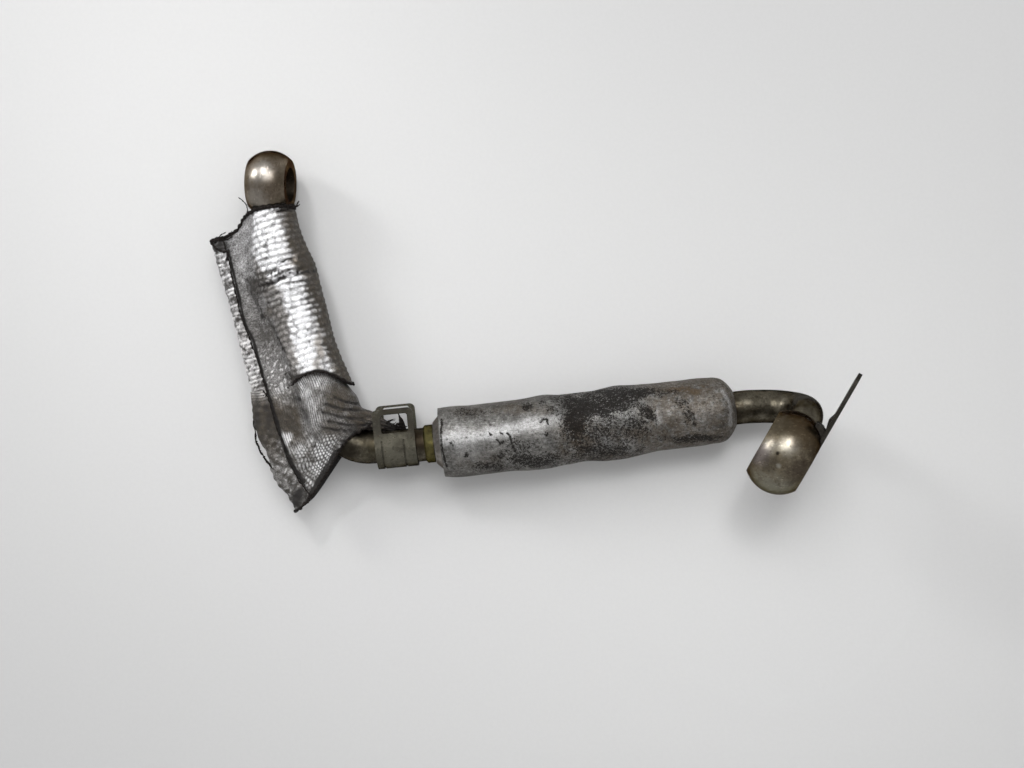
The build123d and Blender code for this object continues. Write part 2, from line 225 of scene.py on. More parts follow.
def walled(name, outer, inner, faces, rim, material):
    """A closed piece from its outer and inner points, its faces and the flat ones of its rim."""
    vertices = np.concatenate([outer.reshape(-1, 3), inner.reshape(-1, 3)])
    return object_from(name, vertices, faces + rim, material, [True] * len(faces) + [False] * len(rim))


def thick_sheet(name, outer, base, material):
    """A closed sheet: a fine outer face, a plain inner face and the cut edge that joins them."""
    rows, columns = outer.shape[:2]
    thickness = sizes().cloth_thickness / MM
    inner = (base - normals_of(base) * thickness)[::INNER_STEP, ::INNER_STEP]
    fine = np.arange(rows * columns).reshape(rows, columns)
    coarse = rows * columns + np.arange(inner.shape[0] * inner.shape[1]).reshape(inner.shape[:2])
    quads = np.stack([fine[:-1, :-1], fine[:-1, 1:], fine[1:, 1:], fine[1:, :-1]], axis=-1).reshape(-1, 4)
    back = np.stack(
        [coarse[:-1, :-1], coarse[1:, :-1], coarse[1:, 1:], coarse[:-1, 1:]], axis=-1
    ).reshape(-1, 4)
    rim = rim_faces(fine[0], coarse[0], True) + rim_faces(fine[-1], coarse[-1], False)
    rim += rim_faces(fine[:, 0], coarse[:, 0], False) + rim_faces(fine[:, -1], coarse[:, -1], True)
    return walled(name, outer, inner, quads.tolist() + back.tolist(), rim, material)


def tube_wall(name, outer, inner, material):
    """A closed tube wall whose first and last columns are the same line."""
    rows, columns = outer.shape[0], outer.shape[1] - 1
    inner = inner[::INNER_STEP, :-1:INNER_STEP]
    fine = np.arange(rows * columns).reshape(rows, columns)
    coarse = rows * columns + np.arange(inner.shape[0] * inner.shape[1]).reshape(inner.shape[:2])

    def quads(grid, turned):
        after = np.roll(grid, -1, axis=1)
        parts = [grid[:-1], after[:-1], after[1:], grid[1:]]
        return np.stack(parts[::-1] if turned else parts, axis=-1).reshape(-1, 4).tolist()

    rim = []
    for edge, far, turned in ((fine[0], coarse[0], True), (fine[-1], coarse[-1], False)):
        rim += rim_faces(np.append(edge, edge[0]), np.append(far, far[0]), turned)
    return walled(name, outer[:, :-1], inner, quads(fine, False) + quads(coarse, True), rim, material)


def store(piece, name, values):
    """Stores a value or three at each vertex of the fine outer face and the plain inner one."""
    values = [
        values.reshape(-1, values.shape[-1]),
        values[::INNER_STEP, ::INNER_STEP].reshape(-1, values.shape[-1]),
    ]
    values = np.concatenate(values).astype(np.float32)
    kind, field = ("FLOAT_VECTOR", "vector") if values.shape[1] == 3 else ("FLOAT", "value")
    piece.data.attributes.new(name, kind, "POINT").data.foreach_set(field, values.ravel())


def strand(points, radii, sides=6):
    """Vertices and faces of a round thread along points, tapered by radii."""
    points = np.asarray(points, float)
    radii = np.broadcast_to(np.asarray(radii, float), len(points))
    ways = np.gradient(points, axis=0)
    ways /= np.linalg.norm(ways, axis=1, keepdims=True) + 1e-9
    side = np.cross(ways, UP)
    side[np.linalg.norm(side, axis=1) < 0.05] = (1.0, 0.0, 0.0)
    side /= np.linalg.norm(side, axis=1, keepdims=True)
    over = np.cross(side, ways)
    angles = np.arange(sides) * math.tau / sides
    ring = np.cos(angles)[None, :, None] * side[:, None] + np.sin(angles)[None, :, None] * over[:, None]
    vertices = (points[:, None] + ring * radii[:, None, None]).reshape(-1, 3)
    faces = []
    for row in range(len(points) - 1):
        for turn in range(sides):
            after = (turn + 1) % sides
            faces.append(
                (
                    row * sides + turn,
                    row * sides + after,
                    (row + 1) * sides + after,
                    (row + 1) * sides + turn,
                )
            )
    faces.append(tuple(range(sides))[::-1])
    faces.append(tuple(range((len(points) - 1) * sides, len(points) * sides)))
    return vertices, faces


def bundle(name, strands, material):
    """One piece from many threads."""
    vertices, faces, start = [], [], 0
    for some, joined in strands:
        vertices.append(some)
        faces += [tuple(v + start for v in face) for face in joined]
        start += len(some)
    return object_from(name, np.concatenate(vertices), faces, material)


def curl(start, end, bow, wobble, draw, count):
    """A loose thread from start to end, bowed to one side and slightly uneven."""
    share = np.linspace(0, 1, count)[:, None]
    start, end, bow = (np.asarray(p, float) for p in (start, end, bow))
    line = start * (1 - share) + end * share + bow * 4 * share * (1 - share)
    return line + draw.normal(size=(count, 3)) * wobble * share


def on_arm(down, across, up=0.0):
    """The frame place of a point on the long arm."""
    return ARM_ORIGIN + ARM_WAY * down + ARM_SIDE * across + UP * up


def seen(points):
    """Where points show in the picture's frame, counted right and down in its pixels."""
    near = (EYE_HEIGHT - points[..., 2]) / (EYE_HEIGHT - FLOOR_LEVEL)
    right = PICTURE_MIDDLE[0] + (points[..., 0] - EYE[0]) / PIXEL / near
    down = PICTURE_MIDDLE[1] - (points[..., 1] - EYE[1]) / PIXEL / near
    return np.stack([right, down], axis=-1)


def in_plan(right, down, up):
    """The place at a height that shows at this spot of the picture's frame."""
    near = (EYE_HEIGHT - up) / (EYE_HEIGHT - FLOOR_LEVEL)
    x = EYE[0] + (right - PICTURE_MIDDLE[0]) * PIXEL * near
    y = EYE[1] - (down - PICTURE_MIDDLE[1]) * PIXEL * near
    return np.array([x, y, up])


def daubs(spots, marks, uneven):
    """Soft uneven patches: right, down, half width, half height and amount of each."""
    total = np.zeros(spots.shape[:-1])
    for right, down, wide, tall, amount in marks:
        away = np.hypot((spots[..., 0] - right) / wide, (spots[..., 1] - down) / tall) + uneven
        total = np.maximum(total, amount * (1 - smooth(0.25, 1.3, away)))
    return total


def near_line(spots, line, half, fade=0.5):
    """1 within half of a line of spots, falling to 0 a fade further out."""
    nearest = np.full(spots.shape[:-1], 1e9)
    line = np.asarray(line, float)
    for start, end in zip(line[:-1], line[1:]):
        way = end - start
        share = np.clip(((spots - start) @ way) / (way @ way + 1e-9), 0, 1)
        nearest = np.minimum(nearest, np.linalg.norm(spots - start - share[..., None] * way, axis=-1))
    return 1 - smooth(half, half + fade, nearest)


def rough_cord(points, radius, draw, wander=0.12, sides=7):
    """A frayed cord along points, uneven in thickness and line."""
    points = np.asarray(points, float)
    count = len(points)
    steps = np.arange(count)
    wave = sum(np.sin(steps * draw.uniform(0.25, 1.6) + draw.uniform(0, math.tau)) for _ in range(4)) / 2.4
    side = sum(np.sin(steps * draw.uniform(0.2, 1.1) + draw.uniform(0, math.tau)) for _ in range(3)) / 2.0
    moved = points + np.stack([side, np.roll(side, 3), np.roll(wave, 5)], axis=-1) * wander
    return strand(moved, radius * np.clip(1 + 0.38 * wave, 0.35, 1.8), sides)


# Shader helpers


def add_node(tree, kind, inputs=None, **settings):
    """A node with its settings, and each input set to a value or linked to a socket."""
    made = tree.nodes.new(kind)
    for name, value in settings.items():
        setattr(made, name, value)
    for name, value in (inputs or {}).items():
        if isinstance(value, bpy.types.NodeSocket):
            tree.links.new(value, made.inputs[name])
        else:
            made.inputs[name].default_value = value
    return made


def maths(tree, operation, first, second=0.0, third=None, clamp=False):
    """One sum of one, two or three values."""
    inputs = {0: first, 1: second}
    if third is not None:
        inputs[2] = third
    return add_node(tree, "ShaderNodeMath", inputs, operation=operation, use_clamp=clamp).outputs[0]


def times(tree, first, second):
    """The product of two values."""
    return maths(tree, "MULTIPLY", first, second)


def times_add(tree, first, second, third, clamp=False):
    """The product of two values and a third added to it."""
    return maths(tree, "MULTIPLY_ADD", first, second, third, clamp)


def minus(tree, first, second):
    """The first value less the second."""
    return maths(tree, "SUBTRACT", first, second)


def most(tree, first, second):
    """The larger of two values."""
    return maths(tree, "MAXIMUM", first, second)


def read_marks(tree):
    """The three marks stored at the vertices, painted highlights and painted shade among them."""
    marks = add_node(tree, "ShaderNodeAttribute", attribute_name=MARKS_AND_PAINTED_LIGHT).outputs["Vector"]
    return tuple(add_node(tree, "ShaderNodeSeparateXYZ", {0: marks}).outputs)


def between(tree, value, low, high, out_low=0.0, out_high=1.0):
    """A value remapped smoothly from low..high."""
    inputs = {0: value, 1: low, 2: high, 3: out_low, 4: out_high}
    return add_node(tree, "ShaderNodeMapRange", inputs, interpolation_type="SMOOTHSTEP").outputs[0]


def blend(tree, share, first, second, kind="MIX"):
    """Two colours mixed by a share."""
    inputs = {0: share, 6: first, 7: second}
    return add_node(tree, "ShaderNodeMix", inputs, data_type="RGBA", blend_type=kind).outputs[2]


def noise(tree, place, scale, detail=3.0, rough=0.55, distortion=0.0):
    """Cloudy noise at a place in millimetres."""
    inputs = {
        "Vector": place,
        "Scale": scale,
        "Detail": detail,
        "Roughness": rough,
        "Distortion": distortion,
    }
    return add_node(tree, "ShaderNodeTexNoise", inputs).outputs[0]


def stretched(tree, place, scales):
    """A place scaled unevenly, for streaks."""
    return add_node(tree, "ShaderNodeVectorMath", {0: place, 1: scales}, operation="MULTIPLY").outputs[0]


def colour(value):
    """Three parts of a colour as a shader takes them."""
    return (*value, 1.0)


def new_group(name, inputs, outputs):
    """A shader node group with named sockets, and its input and output nodes."""
    tree = bpy.data.node_groups.new(name, "ShaderNodeTree")
    for title, kind, default in inputs:
        made = tree.interface.new_socket(title, in_out="INPUT", socket_type=kind)
        if default is not None:
            made.default_value = default
    for title, kind in outputs:
        tree.interface.new_socket(title, in_out="OUTPUT", socket_type=kind)
    return tree, tree.nodes.new("NodeGroupInput").outputs, tree.nodes.new("NodeGroupOutput").inputs


FLOAT, VECTOR = "NodeSocketFloat", "NodeSocketVector"


def use_group(tree, group, **values):
    """A group placed in a material with its own values; underscores stand for spaces."""
    made = add_node(tree, "ShaderNodeGroup", node_tree=group)
    for name, value in values.items():
        socket = made.inputs[name.replace("_", " ")]
        if isinstance(value, bpy.types.NodeSocket):
            tree.links.new(value, socket)
        else:
            socket.default_value = value
    return made.outputs


def build_groups():
    """The effects that several finishes share."""
    groups = {}

    tree, _, out = new_group("Millimetres", [], [("Place", VECTOR)])
    where = add_node(tree, "ShaderNodeTexCoord").outputs["Object"]
    scaled = add_node(tree, "ShaderNodeVectorMath", {0: where, 3: 1000.0}, operation="SCALE").outputs[0]
    tree.links.new(scaled, out["Place"])
    groups["place"] = tree

    tree, given, out = new_group(
        "Grime",
        [("Place", VECTOR, None), ("Size", FLOAT, 6.0), ("Amount", FLOAT, 0.5), ("Edge", FLOAT, 0.12)],
        [("Mask", FLOAT)],
    )
    scale = maths(tree, "DIVIDE", 1.0, given["Size"])
    wide = noise(tree, given["Place"], scale, 5.0, 0.62, 0.6)
    level = minus(tree, 0.86, times(tree, given["Amount"], 0.62))
    low = minus(tree, level, given["Edge"])
    high = maths(tree, "ADD", level, given["Edge"])
    tree.links.new(between(tree, wide, low, high), out["Mask"])
    groups["grime"] = tree

    tree, given, out = new_group(
        "Specks",
        [("Place", VECTOR, None), ("Size", FLOAT, 0.6), ("Amount", FLOAT, 0.3)],
        [("Mask", FLOAT)],
    )
    scale = maths(tree, "DIVIDE", 1.0, given["Size"])
    cell = add_node(
        tree, "ShaderNodeTexVoronoi", {"Vector": given["Place"], "Scale": scale, "Randomness": 1.0}
    )
    chance = add_node(tree, "ShaderNodeSeparateColor", {0: cell.outputs["Color"]}).outputs[0]
    chosen = maths(tree, "LESS_THAN", chance, given["Amount"])
    spot = between(tree, cell.outputs["Distance"], 0.0, times(tree, chosen, 0.42), 1.0, 0.0)
    lone = times(tree, spot, chosen)
    tree.links.new(lone, out["Mask"])
    groups["specks"] = tree

    tree, given, out = new_group(
        "Scratches",
        [("Place", VECTOR, None), ("Stretch", VECTOR, (0.2, 3.0, 3.0)), ("Amount", FLOAT, 0.4)],
        [("Mask", FLOAT), ("Height", FLOAT)],
    )
    drawn = add_node(
        tree, "ShaderNodeVectorMath", {0: given["Place"], 1: given["Stretch"]}, operation="MULTIPLY"
    ).outputs[0]
    grain = noise(tree, drawn, 1.0, 4.0, 0.7)
    line = between(tree, grain, 0.56, 0.72)
    tree.links.new(times(tree, line, given["Amount"]), out["Mask"])
    tree.links.new(grain, out["Height"])
    groups["scratches"] = tree

    tree, given, out = new_group(
        "Edge wear",
        [("Low", FLOAT, 0.52), ("High", FLOAT, 0.6)],
        [("Mask", FLOAT), ("Hollow", FLOAT)],
    )
    bent = add_node(tree, "ShaderNodeNewGeometry").outputs["Pointiness"]
    tree.links.new(between(tree, bent, given["Low"], given["High"]), out["Mask"])
    tree.links.new(between(tree, bent, 0.49, 0.42), out["Hollow"])
    groups["edge"] = tree

    # Soft round patches: stains, and on the rings also painted highlights and painted shade
    tree, given, out = new_group(
        "Stain",
        [("Place", VECTOR, None), ("Middle", VECTOR, (0.0, 0.0, 0.0)), ("Radius", FLOAT, 3.0)],
        [("Mask", FLOAT)],
    )
    away = add_node(
        tree, "ShaderNodeVectorMath", {0: given["Place"], 1: given["Middle"]}, operation="DISTANCE"
    ).outputs[1]
    uneven = minus(tree, noise(tree, given["Place"], 0.5, 5.0, 0.62), 0.5)
    reach = maths(tree, "ADD", maths(tree, "DIVIDE", away, given["Radius"]), uneven)
    tree.links.new(between(tree, reach, 1.25, 0.35), out["Mask"])
    groups["stain"] = tree
    return groups


groups = {}


def new_material(name):
    """A material with its shader, and the object's place in millimetres."""
    material = bpy.data.materials.new(name)
    material.use_nodes = True
    tree = material.node_tree
    tree.nodes.clear()
    shader = tree.nodes.new("ShaderNodeBsdfPrincipled")
    output = tree.nodes.new("ShaderNodeOutputMaterial")
    tree.links.new(shader.outputs[0], output.inputs[0])
    place = use_group(tree, groups["place"])[0]
    return material, tree, shader, place


def set_bump(tree, shader, height, distance, strength=1.0):
    """A bump whose height is in shader units and whose distance is in millimetres."""
    made = add_node(
        tree, "ShaderNodeBump", {"Height": height, "Distance": distance * MM, "Strength": strength}
    )
    tree.links.new(made.outputs[0], shader.inputs["Normal"])


def worn_steel(
    name,
    base,
    dark,
    tint,
    *,
    rough,
    grime,
    rust,
    stretch=(0.5, 0.5, 0.5),
    streak=0.25,
    stains=(),
    relief=0.07,
):
    """Bare steel with heat tint, dirt, rust specks, fine drawn scratches and its own stains, which on the
    rings include painted highlights and painted shade.
    """
    material, tree, shader, place = new_material(name)
    wide = noise(tree, place, 0.14, 4.0, 0.6)
    body = blend(tree, between(tree, wide, 0.36, 0.62), colour(base), colour(tint))
    mottle = noise(tree, place, 0.85, 6.0, 0.68)
    body = blend(tree, between(tree, mottle, 0.42, 0.68, 0.0, 0.6), body, colour(dark))
    dirt = use_group(tree, groups["grime"], Place=place, Size=5.0, Amount=grime, Edge=0.12)["Mask"]
    fine = use_group(tree, groups["grime"], Place=place, Size=1.1, Amount=grime * 0.9, Edge=0.09)["Mask"]
    dirty = most(tree, times(tree, dirt, 0.75), times(tree, fine, 0.6))
    # Each listed patch is blended into the colour: stains, and on the rings painted highlights and painted
    # shade
    for spot, radius, tone, share in stains:
        near = use_group(tree, groups["stain"], Place=place, Middle=in_plan(*spot), Radius=radius)["Mask"]
        body = blend(tree, times(tree, near, share), body, colour(tone))
    body = blend(tree, dirty, body, colour(dark))
    specks = use_group(tree, groups["specks"], Place=place, Size=0.7, Amount=rust)["Mask"]
    body = blend(tree, times(tree, specks, 0.85), body, colour(RUST))
    scratch = use_group(tree, groups["scratches"], Place=place, Stretch=stretch, Amount=1.0)
    body = blend(
        tree, 1.0, body, times_add(tree, scratch["Mask"], 2.0 * streak, 1.0 - 0.15 * streak), "MULTIPLY"
    )
    edge = use_group(tree, groups["edge"])
    body = blend(tree, times(tree, edge["Hollow"], 0.8), body, colour([0.5 * c for c in dark]))
    tree.links.new(body, shader.inputs["Base Color"])
    metal = minus(tree, 1.0, times(tree, most(tree, specks, dirty), 0.5))
    tree.links.new(metal, shader.inputs["Metallic"])
    low = times_add(tree, dirty, 0.2, rough - 0.06)
    low = times_add(tree, specks, 0.25, low)
    low = times_add(tree, scratch["Height"], 0.14, low, clamp=True)
    tree.links.new(low, shader.inputs["Roughness"])
    shader.inputs["Specular Tint"].default_value = (0.22, 0.20, 0.18, 1.0)
    height = times_add(tree, specks, -0.6, times(tree, scratch["Height"], 0.4))
    height = times_add(tree, mottle, -0.5, height)
    set_bump(tree, shader, height, relief)
    return material


def thread_material(name, base):
    """Scorched dark thread."""
    material, tree, shader, place = new_material(name)
    mixed = noise(tree, place, 1.6, 4.0, 0.6)
    body = blend(
        tree, between(tree, mixed, 0.45, 0.75), colour(base), colour([min(1.0, 3.0 * c) for c in base])
    )
    tree.links.new(body, shader.inputs["Base Color"])
    shader.inputs["Roughness"].default_value = 0.8
    shader.inputs["Specular IOR Level"].default_value = 0.15
    set_bump(tree, shader, noise(tree, place, 5.0, 3.0, 0.6), 0.1)
    return material


def cloth_material(
    name, light, shade, brown, *, metal_share, gloss, grit_share, yarn_pitch=None, yarn_strength=0.0
):
    """Aluminium-faced glass cloth, as light, brown and scorched at each place as its marks say; the marks
    also paint highlights and shade.
    """
    material, tree, shader, place = new_material(name)
    tone, browned_and_shaded, burnt_and_shade = read_marks(tree)
    fine = noise(tree, place, 2.6, 5.0, 0.72)
    wide = noise(tree, place, 0.3, 5.0, 0.6, 0.5)
    swing = times(tree, minus(tree, between(tree, fine, 0.34, 0.66), 0.5), grit_share)
    swing = times_add(tree, minus(tree, wide, 0.5), 0.22, swing)
    level = maths(tree, "ADD", tone, times(tree, swing, times_add(tree, tone, 0.8, 0.35)), clamp=True)
    # Lightness blends from the dark to the light colour; it holds painted highlights and painted shade
    body = blend(tree, level, colour(shade), colour(light))
    # The brown mark lays scorch brown and painted shade
    warm = times(tree, browned_and_shaded, between(tree, wide, 0.25, 0.6, 0.65, 1.0))
    aged = blend(tree, level, colour([0.45 * c for c in brown]), colour([2.6 * c for c in brown]))
    body = blend(tree, warm, body, aged)
    specks = use_group(tree, groups["specks"], Place=place, Size=0.8, Amount=0.2)["Mask"]
    body = blend(tree, times(tree, specks, 0.7), body, colour(CUT_SHADE))
    flaked = between(tree, noise(tree, place, 1.7, 5.0, 0.75), 0.52, 0.63, 0.0, 0.75)
    flaked = times(tree, flaked, between(tree, tone, 0.25, 0.75, 1.0, 0.25))
    body = blend(tree, flaked, body, (0.022, 0.019, 0.016, 1.0))
    # The third mark lays scorched black and painted shade
    body = blend(tree, burnt_and_shade, body, colour(SCORCH_AND_SHADE_BLACK))
    tree.links.new(body, shader.inputs["Base Color"])
    lost = most(tree, most(tree, times(tree, warm, 0.8), burnt_and_shade), specks)
    tree.links.new(times(tree, minus(tree, 1.0, lost), metal_share), shader.inputs["Metallic"])
    rough = times_add(tree, lost, 0.35, times_add(tree, fine, 0.25, gloss - 0.12), clamp=True)
    tree.links.new(rough, shader.inputs["Roughness"])
    height = times(tree, fine, 1.1)
    if yarn_pitch:
        run = add_node(tree, "ShaderNodeAttribute", attribute_name=YARN_RUN).outputs["Fac"]
        yarn = maths(tree, "ABSOLUTE", maths(tree, "SINE", times(tree, run, math.pi / yarn_pitch)))
        height = times_add(tree, yarn, yarn_strength, height)
    set_bump(tree, shader, height, 0.14)
    return material


# Settings that a user would change


class OilLineSizes(PropertyGroup):
    """Sizes of the soft pieces' detail."""

    cloth_thickness: FloatProperty(
        name="Cloth thickness",
        description="How thick the heat cloth is",
        default=0.0008,
        min=0.0002,
        unit="LENGTH",
    )
    weave_row: FloatProperty(
        name="Weave row",
        description="Distance from one row of yarn to the next",
        default=0.0018,
        min=0.0005,
        unit="LENGTH",
    )
    weave_step: FloatProperty(
        name="Weave step",
        description="Distance between crossings in a row",
        default=0.00245,
        min=0.0005,
        unit="LENGTH",
    )
    weave_relief: FloatProperty(
        name="Weave relief",
        description="How far the yarn stands up",
        default=0.0003,
        min=0.0,
        unit="LENGTH",
    )
    foil_thickness: FloatProperty(
        name="Foil thickness",
        description="How thick the foil sleeve is",
        default=0.00035,
        min=0.0001,
        unit="LENGTH",
    )
    thread_radius: FloatProperty(
        name="Thread radius",
        description="Radius of one loose thread",
        default=0.00016,
        min=0.00005,
        unit="LENGTH",
    )


class OilLineColours(PropertyGroup):
    """Base colours of the finishes."""

    ring_steel: FloatVectorProperty(
        name="Ring steel",
        description="Heat-tinted steel of both rings",
        default=(0.24, 0.20, 0.155),
        subtype="COLOR",
        size=3,
        min=0,
        max=1,
    )
    pipe_steel: FloatVectorProperty(
        name="Pipe steel",
        description="Dull drawn tube",
        default=(0.15, 0.136, 0.105),
        subtype="COLOR",
        size=3,
        min=0,
        max=1,
    )
    collar_zinc: FloatVectorProperty(
        name="Collar zinc",
        description="Yellow zinc plate of the stop collar",
        default=(0.135, 0.115, 0.045),
        subtype="COLOR",
        size=3,
        min=0,
        max=1,
    )
    foil_grey: FloatVectorProperty(
        name="Foil grey",
        description="Matt aluminium of the hose sleeve",
        default=(0.20, 0.195, 0.185),
        subtype="COLOR",
        size=3,
        min=0,
        max=1,
    )
    cloth_silver: FloatVectorProperty(
        name="Cloth silver",
        description="Bright face of the heat cloth",
        default=(0.95, 0.95, 0.97),
        subtype="COLOR",
        size=3,
        min=0,
        max=1,
    )
    # Cloth brown is also laid on the cloth as painted shade
    cloth_brown: FloatVectorProperty(
        name="Cloth brown",
        description="Scorched parts of the heat cloth",
        default=(0.075, 0.058, 0.038),
        subtype="COLOR",
        size=3,
        min=0,
        max=1,
    )
    thread_black: FloatVectorProperty(
        name="Thread black",
        description="Scorched binding thread",
        default=SCORCH_AND_SHADE_BLACK,
        subtype="COLOR",
        size=3,
        min=0,
        max=1,
    )
    floor_white: FloatVectorProperty(
        name="Floor white",
        description="Plain pale floor",
        default=(0.63, 0.63, 0.63),
        subtype="COLOR",
        size=3,
        min=0,
        max=1,
    )


def sizes():
    """The settings of sizes."""
    return bpy.context.scene.oil_line_sizes


def colours():
    """The settings of colours."""
    return bpy.context.scene.oil_line_colours


def dress(nodes, material):
    """Gives CAD nodes their finish."""
    for name in nodes:
        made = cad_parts[name]
        if not made.data.materials:
            made.data.materials.append(material)
        for slot in made.material_slots:
            slot.material = material


def ride(piece):
    """Puts a piece on the part's one body."""
    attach(piece, BODY)
    return piece


def black_thread():
    """The thread's finish, made on its first use."""
    return bpy.data.materials.get("Black thread") or thread_material("Black thread", colours().thread_black)


# Pieces

# The first colour is the rings' dark heat brown, laid at their rims as painted shade
HEAT_BROWN_AND_RIM_SHADE, SOOT, PIPE_SOOT = (0.036, 0.026, 0.018), (0.012, 0.010, 0.008), (0.010, 0.008, 0.006)
# Stains and painted light: right, down and height in the picture's frame, then radius, colour and amount
# Turbo ring: a pale painted highlight at the top left, painted shade below it and dark brown painted shade
# at the rims, and a paler patch low on the left
TURBO_RING_STAINS_AND_LIGHT = [
    ((261, 173, 9.0), 4.2, (0.40, 0.385, 0.36), 0.65), ((265, 190, 9.0), 5.0, (0.070, 0.052, 0.037), 0.6),
    ((272, 158, 4.5), 4.2, HEAT_BROWN_AND_RIM_SHADE, 0.5), ((252, 160, 5.0), 2.8, HEAT_BROWN_AND_RIM_SHADE, 0.6),
    ((284, 178, 8.0), 4.0, (0.075, 0.060, 0.042), 0.6), ((256, 200, 7.0), 4.4, (0.36, 0.34, 0.31), 0.5),
    ((278, 204, 6.0), 3.5, (0.09, 0.075, 0.05), 0.5),
]
BLOCK_RING_STAINS_AND_LIGHT = [
    # Block ring: pale painted highlights under both highlights and dark brown painted shade along the top
    # and right rims; the rest are lighter and darker patches, a pit and a pimple
    ((768, 445, 33.0), 3.0, (0.38, 0.36, 0.31), 0.6), ((789, 444, 34.0), 3.6, (0.40, 0.38, 0.33), 0.65),
    ((800, 420, 28.0), 8.0, HEAT_BROWN_AND_RIM_SHADE, 0.85), ((777, 453, 34.0), 0.7, SOOT, 0.9),
    ((814, 450, 30.0), 6.5, HEAT_BROWN_AND_RIM_SHADE, 0.75), ((757, 454, 31.0), 4.0, (0.27, 0.235, 0.235), 0.65),
    ((773, 486, 26.0), 8.0, (0.25, 0.245, 0.20), 0.85), ((795, 467, 31.5), 5.0, (0.045, 0.033, 0.026), 0.8),
    ((799, 432, 31.5), 6.0, (0.095, 0.068, 0.040), 0.7), ((768, 464, 33.0), 3.2, (0.05, 0.042, 0.034), 0.5),
    ((778, 466, 34.0), 0.9, (0.33, 0.32, 0.28), 0.85), ((780, 428, 31.0), 4.5, (0.085, 0.070, 0.046), 0.6),
]
PIPE_STAINS = [
    ((349, 448, 5.0), 4.0, PIPE_SOOT, 0.8), ((418, 440, 6.0), 4.5, (0.022, 0.014, 0.008), 0.85),
    ((372, 452, 4.0), 4.0, (0.040, 0.036, 0.020), 0.5), ((735, 412, 7.0), 4.0, (0.026, 0.018, 0.010), 0.6),
]
CLIP_STAINS = [
    ((392, 450, 8.0), 8.0, (0.17, 0.16, 0.125), 0.65), ((399, 446, 8.0), 2.5, (0.05, 0.045, 0.035), 0.6),
    ((378, 460, 5.0), 3.0, (0.05, 0.045, 0.032), 0.5), ((397, 411, 8.0), 6.0, (0.030, 0.027, 0.022), 0.7),
    ((379, 425, 8.0), 4.0, (0.034, 0.031, 0.026), 0.7), ((414, 425, 8.0), 4.0, (0.040, 0.036, 0.030), 0.6),
]


class OILLINE_OT_rings(Operator):
    """Finish both ring fittings and the locating tab."""

    bl_idname = "oil_line.rings"
    bl_label = "Finish rings and tab"

    def execute(self, context):
        dress(
            ["turbo_banjo"],
            worn_steel(
                "Ring steel",
                colours().ring_steel,
                (0.085, 0.066, 0.048),
                (0.15, 0.12, 0.088),
                rough=0.29,
                grime=0.26,
                rust=0.02,
                stretch=(2.6, 0.5, 0.7),
                streak=0.45,
                stains=TURBO_RING_STAINS_AND_LIGHT,
                relief=0.022,
            ),
        )
        dress(
            ["block_banjo"],
            worn_steel(
                "Block ring steel",
                (0.25, 0.215, 0.155),
                (0.075, 0.060, 0.042),
                (0.17, 0.142, 0.098),
                rough=0.29,
                grime=0.38,
                rust=0.05,
                stretch=(0.9, 2.8, 0.9),
                streak=0.5,
                stains=BLOCK_RING_STAINS_AND_LIGHT,
                relief=0.03,
            ),
        )
        dress(["locating_tab"], worn_steel(
            "Tab steel", (0.055, 0.051, 0.045), (0.015, 0.013, 0.012), (0.038, 0.034, 0.028),
            rough=0.38, grime=0.5, rust=0.15, stretch=(0.6, 1.8, 0.6), streak=0.2,
        ))
        return {"FINISHED"}


class OILLINE_OT_pipes(Operator):
    """Finish both pipes, the collar, the crimped ferrules and the rubber hose."""

    bl_idname = "oil_line.pipes"
    bl_label = "Finish pipes"

    def execute(self, context):
        dress(["turbo_pipe", "block_pipe"], worn_steel(
            "Pipe steel", colours().pipe_steel, (0.022, 0.018, 0.012), (0.058, 0.050, 0.034),
            rough=0.33, grime=0.5, rust=0.22, stretch=(0.5, 1.6, 1.6), stains=PIPE_STAINS,
        ))
        dress(
            ["turbo_collar"],
            worn_steel(
                "Collar zinc",
                colours().collar_zinc,
                (0.030, 0.025, 0.009),
                (0.085, 0.078, 0.030),
                rough=0.4,
                grime=0.55,
                rust=0.1,
            ),
        )
        dress(
            ["turbo_ferrule", "block_ferrule"],
            worn_steel(
                "Crimp steel",
                (0.34, 0.32, 0.30),
                (0.10, 0.09, 0.08),
                (0.25, 0.23, 0.21),
                rough=0.4,
                grime=0.4,
                rust=0.1,
            ),
        )
        rubber, tree, shader, place = new_material("Moulded rubber")
        grain = noise(tree, place, 3.0, 4.0, 0.6)
        tree.links.new(
            blend(tree, grain, (0.012, 0.012, 0.012, 1), (0.03, 0.03, 0.03, 1)), shader.inputs["Base Color"]
        )
        shader.inputs["Roughness"].default_value = 0.7
        set_bump(tree, shader, grain, 0.08)
        dress(["hose"], rubber)
        return {"FINISHED"}


class OILLINE_OT_clip(Operator):
    """Finish the folded steel clip."""

    bl_idname = "oil_line.clip"
    bl_label = "Finish clip"

    def execute(self, context):
        dress(["sleeve_clip"], worn_steel(
            "Clip steel", (0.105, 0.10, 0.08), (0.034, 0.031, 0.024), (0.072, 0.068, 0.052),
            rough=0.36, grime=0.45, rust=0.12, stretch=(0.8, 1.6, 0.8), streak=0.35, stains=CLIP_STAINS,
        ))
        return {"FINISHED"}


